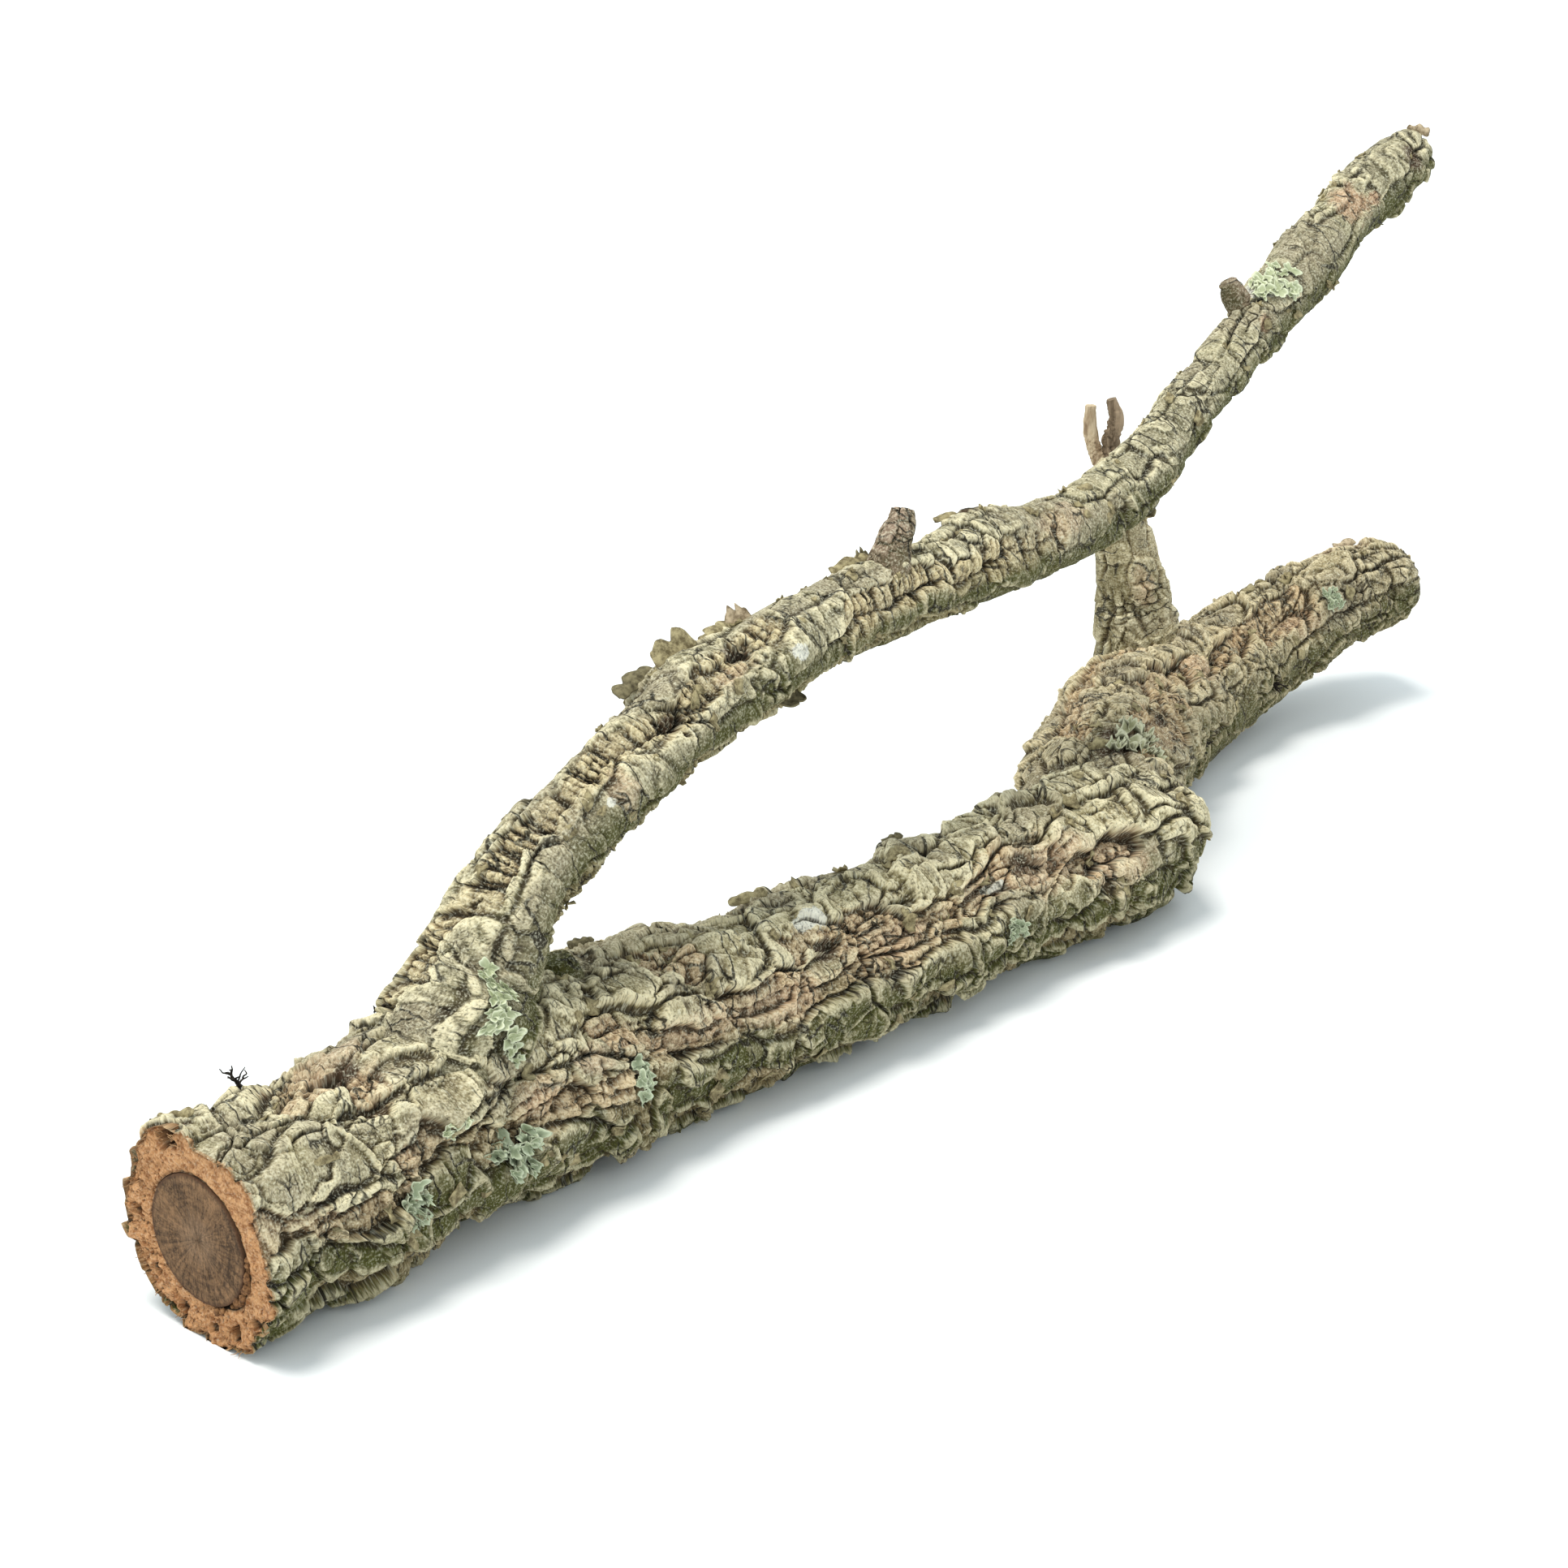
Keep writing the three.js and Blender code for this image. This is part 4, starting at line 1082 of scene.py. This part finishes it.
def sawnSkin(points, masks):
    # rings before the bark's first: out of the bore, over the split at its mouth and across the sawn ring of
    # cork, whose depth is a rough noise with creases and pits
    sides = points.shape[1]
    depthGrid, angleGrid = ringGrid(sawnEnd["boreDepths"], sides)
    bore = woodRadiusAt(depthGrid) + sawnEnd["gap"] + splitWidth(angleGrid, depthGrid)
    borePoints = facePoints(angleGrid, bore, depthGrid)
    middle = limbFrame(stem, np.zeros(1))[0]
    rim = np.linalg.norm(points[0] - middle[0], axis=-1)
    share = np.linspace(0, 1, sawnEnd["faceRings"] + 1)[:-1]
    shareGrid, angleGrid = ringGrid(share, sides)
    inner = woodRadiusAt(0.0) + sawnEnd["gap"] + splitWidth(angleGrid, np.zeros(angleGrid.shape))
    reach = inner + (rim[None] - inner) * shareGrid
    flat = straightened(np.zeros(reach.shape), reach, angleGrid)
    fuzzy = 0.35 + 0.65 * smoothStep(20, 120, np.abs(wrapDegrees(angleGrid - 45)))
    depth = 0.5 + fuzzy * (1.2 * roughNoise(flat, 5, 4, 60) + 0.4 * noise(flat, 1.1, 66))
    depth = depth + 0.7 * smoothStep(0.04, 0.0, np.abs(noise(flat, 4, 67))) * fuzzy
    depth = depth + 0.8 * smoothStep(0.86, 1.0, shareGrid) + 0.35 * smoothStep(0.08, 0.0, shareGrid)
    pit = np.zeros(reach.shape)
    for pitAngle, pitReach, pitDepth, size in sawnEnd["pits"]:
        around = arcLength(angleGrid, pitAngle, reach)
        distance = np.maximum(np.abs(around), np.abs(reach - pitReach)) / size + 0.25 * noise(flat, 1.6, 70)
        pit = np.maximum(pit, pitDepth * smoothStep(1.15, 0.75, distance))
    depth = np.maximum(depth + pit, -0.4)
    rings = np.concatenate([borePoints, facePoints(angleGrid, reach, depth), points])
    extra = len(borePoints) + len(share)
    blank = np.zeros((extra, sides))
    faceMasks = {kind: blank for kind in masks if kind != "straight"}
    faceMasks["face"] = blank + 1.0
    faceMasks["tone"] = blank + 0.5
    roughness = depth - boxBlur(depth, 2, 3)
    boreBlank = blank[:len(borePoints)]
    # the bore and the hollows of the sawn face get a low cavity, which the material paints as shade
    faceMasks["cavity"] = np.concatenate([boreBlank + 0.1, np.clip(0.55 - roughness, 0, 1)])
    edge = 0.6 * smoothStep(0.06, 0.0, shareGrid) + smoothStep(1.0, 3.5, pit)
    faceMasks["stain"] = np.concatenate([boreBlank + 1.0, np.clip(edge, 0, 1)])
    faceMasks["straight"] = np.concatenate([np.repeat(flat[:1], len(borePoints), axis=0), flat])
    joined = {kind: np.concatenate([faceMasks[kind], masks[kind]]) for kind in masks}
    joined["face"][extra:extra + 2] = 0.5
    return rings, joined


def woodPiece():
    # the wood inside the stem: its sawn face in rings from the middle, with a rough noise for its depth,
    # then its tapering side
    sides = sawnEnd["woodSides"]
    shareGrid, angleGrid = ringGrid(np.linspace(0.02, 1, sawnEnd["woodRings"]), sides)
    edge = sawnEnd["woodRadius"] + 0.05 + 0.12 * np.sin(np.radians(angleGrid) * 3 + 1)
    reach = shareGrid * edge
    flat = straightened(np.zeros(reach.shape), reach, angleGrid)
    polar = straightened(reach * 0.16, 12, angleGrid)
    depth = 0.15 + 0.12 * roughNoise(flat, 2.4, 3, 80) + 0.16 * noise(polar, 0.45, 81)
    depth = depth + 0.15 * smoothStep(0.97, 1.0, shareGrid)
    wallDepth, wallAngle = ringGrid(sawnEnd["wallDepths"], sides)
    wall = facePoints(wallAngle, woodRadiusAt(wallDepth), wallDepth)
    face = facePoints(angleGrid, reach, depth)
    wallFlat = straightened(wallDepth, sawnEnd["woodRadius"], wallAngle)
    masks = {
        "straight": np.concatenate([flat, wallFlat]),
        "polar": np.concatenate([polar, wallFlat * 0.4]),
        "reach": np.concatenate([shareGrid, np.ones(wallDepth.shape)]),
    }
    tubePiece("woodDisc", np.concatenate([face, wall]), masks, endGrain, "wood_core")


def splitCrumbs():
    # broken bits of brown cork that fill the split between wood and cork: balls whose radius is 1 plus 0.35
    # of a noise, stretched differently on each axis
    random = np.random.default_rng(76)
    sides, rings = 8, 5
    around = np.linspace(0, 2 * math.pi, sides, endpoint=False)
    turn, climb = np.meshgrid(around, np.linspace(0.15, math.pi - 0.15, rings), indexing="xy")
    ball = np.stack([np.sin(climb) * np.cos(turn), np.sin(climb) * np.sin(turn), np.cos(climb)], axis=-1)
    shells = []
    for _ in range(sawnEnd["crumbs"]):
        angle = np.array([random.normal(sawnEnd["splits"][0][0], 20)])
        depth = random.uniform(0.4, 2.2, 1)
        middle = facePoints(angle, sawnEnd["woodRadius"] + random.uniform(0.5, 1.9, 1), depth)[0]
        lumpy = 1 + 0.35 * noise(ball * 2 + random.uniform(0, 90, 3), 1.3, 77)[..., None]
        shells.append(middle + ball * lumpy * random.uniform(0.5, 1.3, 3))
    shellPiece("splitCrumbs", shells, brownCork)


limbPiece("stemBark", stem, corkBark, "main_stem", sawnSkin(*barkGrid(stem)))
woodPiece()
splitCrumbs()
limbPiece("upperBark", upper, thinBark, "upper_limb")
limbPiece("backBark", back, rearBark, "back_limb")
limbPiece("twigBark", twig, twigBark, "upright_twig")
limbPiece("spurBark", spur, spurBark, "upper_limb")
limbPiece("budBark", bud, spurBark, "upper_limb")
limbPiece("knobBark", knob, corkBark, "main_stem")
limbPiece("brownProng", rightProng, brownProng, "bare_twig_wood")
limbPiece("paleProng", leftProng, paleProng, "bare_twig_wood")
print("bark, wood and twigs made")

# Lichens, flakes and hairs


def onBark(limb, along, angle, offAlong, offAround, lift, follow):
    # points at offsets in mm from a spot of the bark, bent round the limb, middle + (radius + settled +
    # lift) * outward; `follow` is how much of the bark's relief shows through
    place = along + offAlong
    turn = angle + np.degrees(offAround / girthAt(limb, along))
    middle, _, side, top, radius = limbFrame(limb, place)
    here, _ = barkRelief(limb, place, turn, radius)
    settled = follow * here + (1 - follow) * np.percentile(here, 65)
    return middle + (radius + settled + lift)[..., None] * outwardAt(turn, side, top)


def leafOutline(theta, random, lobes):
    # the rim's distance round a leaf, with lobes and small scallops: 1 plus four sines round it
    waves = [(2, 0.16), (lobes, 0.26), (2 * lobes + 1, 0.13), (4 * lobes + 1, 0.05)]
    return 1 + sum(size * np.sin(count * theta + random.uniform(0, 6.28)) for count, size in waves)


def shardOutline(theta, random, sides):
    # the rim's distance round a shard: the least of distance / cos(angle off) over its straight edges
    edges = []
    for k in range(sides):
        distance = random.uniform(0.6, 1.05)
        facing = 6.28 * (k + random.uniform(0, 0.7)) / sides
        edges.append(distance / np.maximum(np.cos(theta - facing), 0.25))
    return np.minimum(np.min(edges, axis=0), 1.5)


leafGrid = (9, 44)  # rings from the middle to the rim, and points round
chipGrid = (2, 12)
leafCore = 0.12  # share of the way to the rim where the first ring is


def leafShell(limb, along, angle, size, stretch, turn, curl, random, lobes=3, thickness=0.4, lift=0.9,
              follow=0.35, outlineOf=leafOutline, grid=leafGrid):
    # a thin leaf on the bark: its top from the middle to the rim, then its underside back to the middle; it
    # rises towards the rim by 1.4 curl share^2.2 in waves
    rings, rays = grid
    theta = np.linspace(0, 2 * math.pi, rays, endpoint=False)
    outline = outlineOf(theta, random, lobes)
    out = np.linspace(leafCore, 1, rings)
    ripple = random.uniform(0, 6.28)

    def layer(share, drop):
        reach = share[:, None] * outline * size
        u, v = reach * np.cos(theta) * stretch, -reach * np.sin(theta) / stretch
        offAlong = u * math.cos(turn) - v * math.sin(turn)
        offAround = u * math.sin(turn) + v * math.cos(turn)
        wave = 0.7 + 0.5 * np.sin(3 * theta + ripple) + 0.25 * np.sin(7 * theta + 2 * ripple)
        raised = lift + 1.4 * curl * share[:, None] ** 2.2 * wave - drop
        return onBark(limb, along, angle, offAlong, offAround, raised, follow)

    return np.concatenate([layer(out, 0.0), layer(out[::-1] * 0.985, thickness)])


def leafMasks(count):
    # how near the rim each point of a leaf is, and how far it is on the underside, both from 0 to 1; the
    # material paints shade towards the middle and a highlight at the rim by the first, and shade on the
    # underside by the second
    rings, rays = leafGrid
    out = np.linspace(leafCore, 1, rings)
    values = {
        "rim": np.concatenate([out, out[::-1]]),
        "under": np.concatenate([np.zeros(rings), np.linspace(0.5, 1, rings)]),
    }
    return {key: np.tile(withPoles(np.tile(row[:, None], rays)), (count, 1)) for key, row in values.items()}


# Lichens: the solid that each stands for, limb, place, material, seed, curl, scale, and leaves as offsets
# and size in mm.
lichens = [
    ("lichen_fork", upper, 38, 66, mintLichen, 11, 1.0, 0.68,
     [(-9, -6, 3.4), (-5, -4, 3.8), (-1, -6, 3.2), (3, -4, 3.6), (6, -8, 3.0), (9, -5, 3.2), (-8, 0, 3.0),
      (-11, 4, 3.6), (-14, 9, 3.0), (-17, 13, 2.4), (5, 0, 2.6), (1, 1, 2.4)]),
    ("lichen_near_block", stem, 60, 59, mintLichen, 12, 0.8, 0.55,
     [(0, 0, 3.0), (-4, 3, 2.6), (4, 2, 2.6), (1, -4, 2.4), (-1, 5, 2.2)]),
    ("lichen_twin_lobes", stem, 81, 85, greyLichen, 13, 1.5, 0.72,
     [(-6, -1, 4.6), (-8, 4, 4.0), (0, 3, 4.2), (4, -2, 4.6), (3, 7, 4.0), (8, 1, 3.6), (-2, 8, 3.4),
      (6, 10, 3.0)]),
    ("lichen_near_saw_cut", stem, 44, 91, greyLichen, 14, 1.4, 0.7,
     [(0, -6, 3.6), (3, -2, 3.4), (-2, 1, 3.8), (4, 4, 3.4), (-4, 6, 3.2), (1, 8, 3.2), (6, 0, 2.8)]),
    ("lichen_mid_stem", stem, 126, 79, greyLichen, 15, 0.7, 0.8,
     [(0, -4, 3.0), (-3, 0, 3.0), (2, 1, 2.6), (-1, 4, 2.8), (4, 5, 2.2)]),
    ("lichen_far_stem", stem, 277, 85, greyLichen, 16, 0.8, 0.65,
     [(0, 0, 3.0), (-3, 3, 2.6), (3, -2, 2.8), (4, 3, 2.2), (-2, -3, 2.4)]),
    ("lichen_elbow", back, 27, 26, creamLichen, 17, 1.8, 0.85,
     [(-7, -2, 4.2), (-2, -4, 4.4), (4, -2, 4.4), (8, 2, 3.8), (10, 7, 3.4), (-5, 3, 3.6), (2, 4, 3.8),
      (-10, -6, 3.0), (6, 9, 3.2)]),
    ("lichen_rear_limb", back, 214, 53, greyLichen, 18, 0.9, 0.6,
     [(0, 0, 3.6), (-4, 2, 3.0), (4, -1, 3.0), (1, 4, 2.8), (-2, -4, 2.6)]),
    ("lichen_high_limb", upper, 443, 14, mintLichen, 19, 0.9, 0.85,
     [(-4, -2, 3.6), (0, -4, 3.6), (4, -1, 3.4), (-2, 3, 3.4), (3, 4, 3.2), (7, 2, 2.8), (-7, 1, 2.6),
      (1, 8, 2.8), (9, -3, 2.4)]),
]
for node, limb, along, angle, material, seed, curl, scale, leaves in lichens:
    random = np.random.default_rng(seed)
    perMm = math.degrees(1 / girthAt(limb, along))
    shells = []
    for offAlong, offAround, size in np.array(leaves) * scale:
        for share in (0.9, 0.6):
            spread = random.normal(size=2) * size * 0.35
            leafAlong = along + offAlong + spread[0]
            leafAngle = angle + (offAround + spread[1]) * perMm
            stretch, turn = random.uniform(0.75, 1.3), random.uniform(0, 6.28)
            shells.append(leafShell(limb, leafAlong, leafAngle, share * size, stretch, turn, curl, random))
    name = node.replace("lichen_", "lichen.")
    shellPiece(name, shells, material, node, leafMasks(len(shells)))
print("lichens made")


def chipShells(limb, spots, sizes, random):
    # small lifted flakes of bark, angular and slightly curled
    shells = []
    for (along, angle), size in zip(spots, sizes):
        stretch, turn = random.uniform(0.75, 1.3), random.uniform(0, 6.28)
        curl, lift = random.uniform(0.1, 0.9), random.uniform(0.0, 0.4)
        shells.append(leafShell(limb, along, angle, size, stretch, turn, curl, random, 5, 0.4, lift, 0.8,
                                shardOutline, chipGrid))
    return shells


# Loose chips: name, limb, slot, material, how many, range along, range of angle, smallest and largest size
# in mm, and seed.
chips = [
    ("stemChips", stem, "cork_bark", flakeBark, 90, (6, 372), (-80, 120), (1.2, 3.0), 31),
    ("upperChips", upper, "thin_bark", flakeBark, 110, (60, 530), (-120, 150), (0.9, 2.4), 32),
    ("backChips", back, "cork_bark", flakeBark, 50, (20, 245), (-100, 110), (1.2, 2.8), 33),
]
for name, limb, slotName, material, count, alongRange, angleRange, sizeRange, seed in chips:
    random = np.random.default_rng(seed)
    spots = np.stack([random.uniform(*alongRange, count), random.uniform(*angleRange, count)], axis=-1)
    shells = chipShells(limb, spots, random.uniform(*sizeRange, count), random)
    shellPiece(name, shells, material)
print("chips made")


straightEnough = 1e-3  # radians below which a sheet counts as straight


def curlShell(limb, along, angle, length, height, turn, bend, random, thickness=0.5):
    # a thin flake that stands out of the bark and curls over, with a torn edge: a sheet along an arc of
    # `bend` radians, as high as its torn profile; `turn` is its heading from the limb's own, in degrees
    stations = np.linspace(-0.5, 0.5, 30)
    climb = np.linspace(-0.25, 1, 14)
    torn = np.interp(stations, np.linspace(-0.5, 0.5, 8), random.uniform(0.5, 1.15, 8))
    ragged = torn * (1 - (2 * np.abs(stations)) ** 6) ** 0.5 + 0.05
    point, tangent, across, outward = barkPoint(limb, along, angle)
    heading = math.cos(math.radians(turn)) * tangent + math.sin(math.radians(turn)) * across
    fold = np.cross(outward, heading)
    wobble = 0.08 * height * np.sin(stations * 14 + random.uniform(0, 6))

    def layer(offset):
        # rise = arc * sin(bent) / bent, lean = arc * (1 - cos(bent)) / bent, plus half the thickness
        arc = climb[None] * ragged[:, None] * height
        bent = np.maximum(climb, 0)[None] * bend
        divisor = np.maximum(bent, straightEnough)
        rise = np.where(bent > straightEnough, np.sin(bent) / divisor, 1) * arc - offset * np.sin(bent)
        lean = np.where(bent > straightEnough, (1 - np.cos(bent)) / divisor, 0) * arc + offset * np.cos(bent)
        lean = lean + wobble[:, None] * climb[None]
        foot = point + (stations * length)[:, None, None] * heading
        return foot + rise[..., None] * outward + lean[..., None] * fold

    return np.concatenate([layer(thickness / 2), layer(-thickness / 2)[:, ::-1]], axis=1)


# Curled flakes: name, limb, along, angle, length, height, heading, bend in radians, material and seed.
# A flake with a negative bend stands straight.
curls = [
    ("curlDarkLow", upper, 134, -44, 16, 4.5, -6, 0.9, darkFlake, 41),
    ("curlBoxy", upper, 148, -38, 15, 5.5, 6, -1.5, flakeBark, 42),
    ("curlRibbon", upper, 163, -34, 13, 4.5, -6, 1.9, flakeBark, 43),
    ("curlRibbonTip", upper, 171, -32, 8, 5, 24, -1.8, rosyFlake, 44),
    ("curlUnder", upper, 171, 138, 11, 4.5, 12, 1.1, darkFlake, 45),
    ("curlCrest", upper, 219, -28, 15, 3.6, 8, 1.5, flakeBark, 46),
    ("curlCrestEdge", upper, 227, -34, 9, 3.4, -20, -1.4, darkFlake, 47),
    ("curlHump", upper, 268, -36, 9, 2.4, 10, 1.6, flakeBark, 48),
    ("curlStem", stem, 202, -24, 12, 4, 20, 2.2, flakeBark, 49),
    ("curlStemFork", stem, 140, -20, 8, 2.6, 10, 1.8, darkFlake, 50),
    ("curlFar", stem, 262, -22, 8, 2.4, 0, 1.8, darkFlake, 51),
    ("curlSawnTop", stem, 6, -22, 9, 2.6, 80, 2.2, flakeBark, 52),
    ("curlSawnSide", stem, 6, -44, 8, 2, 70, -1.8, flakeBark, 53),
    ("curlRear", back, 226, -30, 16, 3.6, 8, 1.7, rosyFlake, 54),
    ("curlRearEnd", back, 242, -24, 11, 3.2, -14, 1.5, rosyFlake, 55),
    ("curlElbow", back, 20, 8, 12, 4, 60, 2.0, flakeBark, 56),
    ("curlRosyA", stem, 24, 48, 8, 2.4, 4, 2.0, flakeBark, 57),
    ("curlRosyB", stem, 42, 30, 11, 2.6, 12, 1.9, rosyFlake, 58),
    ("curlNearLichen", stem, 44, 84, 6, 2.6, 60, 1.8, rosyFlake, 59),
    ("curlTipRim", upper, 540, 20, 8, 2.4, 80, 1.6, rosyFlake, 60),
]
for name, limb, along, angle, length, height, turn, bend, material, seed in curls:
    shell = curlShell(limb, along, angle, length, height, turn, bend, np.random.default_rng(seed))
    shellPiece(name, [shell], material)
print("curled flakes made")


def threadShell(path, thick, thin):
    # a thin thread along a path of points: six-sided rings whose radius goes evenly from thick to thin
    path = np.asarray(path, dtype=float)
    tangent = unit(np.gradient(path, axis=0))
    side = unit(np.cross(tangent, np.array([0.31, 0.2, 0.93])))
    top = np.cross(side, tangent)
    turn = np.linspace(0, 2 * math.pi, 6, endpoint=False)[None, :, None]
    radius = np.linspace(thick, thin, len(path))[:, None, None]
    return path[:, None] + radius * (np.cos(turn) * top[:, None] + np.sin(turn) * side[:, None])


def strayPath(start, direction, length, random, steps=9):
    # a wandering path from a point: straight, plus a bend that grows with share^2 and a small sine kink
    share = np.linspace(0, 1, steps)[:, None]
    bend = unit(random.normal(size=3)) * 0.35 * length
    kink = unit(random.normal(size=3)) * 0.1 * length
    return start + direction * length * share + bend * share**2 + kink * np.sin(share * 8)


def tuftPiece(name, limb, along, angle, height, count, material, seed):
    # a tuft of hairs that start near one spot, each with two branches
    random = np.random.default_rng(seed)
    shells = []
    for _ in range(count):
        spot = along + random.uniform(-2.5, 2.5), angle + random.uniform(-6, 6)
        start, _, _, outward = barkPoint(limb, *spot)
        direction = unit(outward + random.normal(size=3) * 0.45)
        path = strayPath(start - outward, direction, height * random.uniform(0.6, 1.15), random)
        shells.append(threadShell(path, 0.5, 0.16))
        for fork in (4, 6):
            branchDirection = unit(direction + random.normal(size=3) * 0.8)
            branch = strayPath(path[fork], branchDirection, height * 0.38, random)
            shells.append(threadShell(branch, 0.3, 0.13))
    shellPiece(name, shells, material)


tuftPiece("tuftNear", stem, 31, -34, 8, 5, hairBlack, 71)
tuftPiece("tuftFork", stem, 73, -30, 7, 3, hairBlack, 72)
tuftPiece("tuftRear", back, 172, 96, 4, 5, hairBlack, 73)
tuftPiece("tuftElbow", back, 96, 92, 4, 4, hairBlack, 74)


def rimFibres():
    # torn fibres round the far side of the sawn rim, kept clear of the floor
    random = np.random.default_rng(75)
    shells = []
    for angle in random.uniform(150, 350, 70):
        start, tangent, across, outward = barkPoint(stem, 0.6, angle)
        start = start - outward * random.uniform(0.2, 5)
        direction = unit(-tangent + outward * random.uniform(0, 1.4) + across * random.normal())
        path = strayPath(start, direction, random.uniform(0.8, 2.2), random)
        shells.append(threadShell(path, 0.16, 0.07))
    shellPiece("rimFibres", shells, fibreTan, lowest=0.05)


rimFibres()
print("hairs and fibres made")

# Floor, light and camera

studio = {
    "floorSize": 60.0,
    "floorColour": (0.93, 0.93, 0.93),
    "sky": (0.86, 0.96, 1.0),
    "skyStrength": 1.02,
    "sunFrom": (-0.16, 0.12, 0.98),
    "sunSpread": 26.0,
    "sunStrength": 2.1,
    "sunColour": (1.0, 0.97, 0.91),
}


def studioFloor():
    # a pale matte sheet far wider than the picture
    shader = Shader("paleFloor", 0.95)
    shader.surface.inputs["Specular IOR Level"].default_value = 0.0
    shader.put(shader.surface.inputs["Base Color"], studio["floorColour"])
    half = studio["floorSize"] / 2
    mesh = bpy.data.meshes.new("floor")
    corners = [(-half, -half, 0), (half, -half, 0), (half, half, 0), (-half, half, 0)]
    mesh.from_pydata(corners, [], [(0, 1, 2, 3)])
    mesh.materials.append(shader.material)
    floor = placed("floor", mesh)


def studioLights():
    # an even pale sky, and a wide soft sun from above
    world = bpy.data.worlds.new("studio")
    world.use_nodes = True
    background = world.node_tree.nodes["Background"]
    background.inputs["Color"].default_value = (*studio["sky"], 1)
    background.inputs["Strength"].default_value = studio["skyStrength"]
    bpy.context.scene.world = world
    light = bpy.data.lights.new("sun", "SUN")
    light.angle = math.radians(studio["sunSpread"])
    light.energy = studio["sunStrength"]
    light.color = studio["sunColour"]
    sun = placed("sun", light)
    sun.rotation_mode = "QUATERNION"
    sun.rotation_quaternion = (-Vector(studio["sunFrom"])).to_track_quat("-Z", "Y")


# Camera of the photo: its place in the limbs' own millimetres, its heading from +Y and its pitch down in
# degrees, its focal length and picture size in pixels, and a sensor's width in mm.
cameraView = {
    "place": (-393.64, -570.42, 419.0),
    "heading": 46.3,
    "pitch": 22.0,
    "focalPixels": 4000,
    "imageSize": 1932,
    "sensorWidth": 36,
}


def photoCamera():
    # lens = focal length in pixels / picture size in pixels * sensor width
    data = bpy.data.cameras.new("photoCamera")
    data.sensor_width = cameraView["sensorWidth"]
    data.lens = cameraView["focalPixels"] / cameraView["imageSize"] * data.sensor_width
    data.clip_start, data.clip_end = 0.01, 20
    camera = placed("photoCamera", data)
    camera.location = Vector((np.array(cameraView["place"]) + originShift) * mm)
    heading, pitch = math.radians(cameraView["heading"]), math.radians(cameraView["pitch"])
    level = math.cos(pitch)
    look = Vector((math.sin(heading) * level, math.cos(heading) * level, -math.sin(pitch)))
    camera.rotation_mode = "QUATERNION"
    camera.rotation_quaternion = look.to_track_quat("-Z", "Y")
    bpy.context.scene.camera = camera


studioFloor()
studioLights()
photoCamera()
bpy.context.scene.view_settings.view_transform = "Standard"
print("studio made")
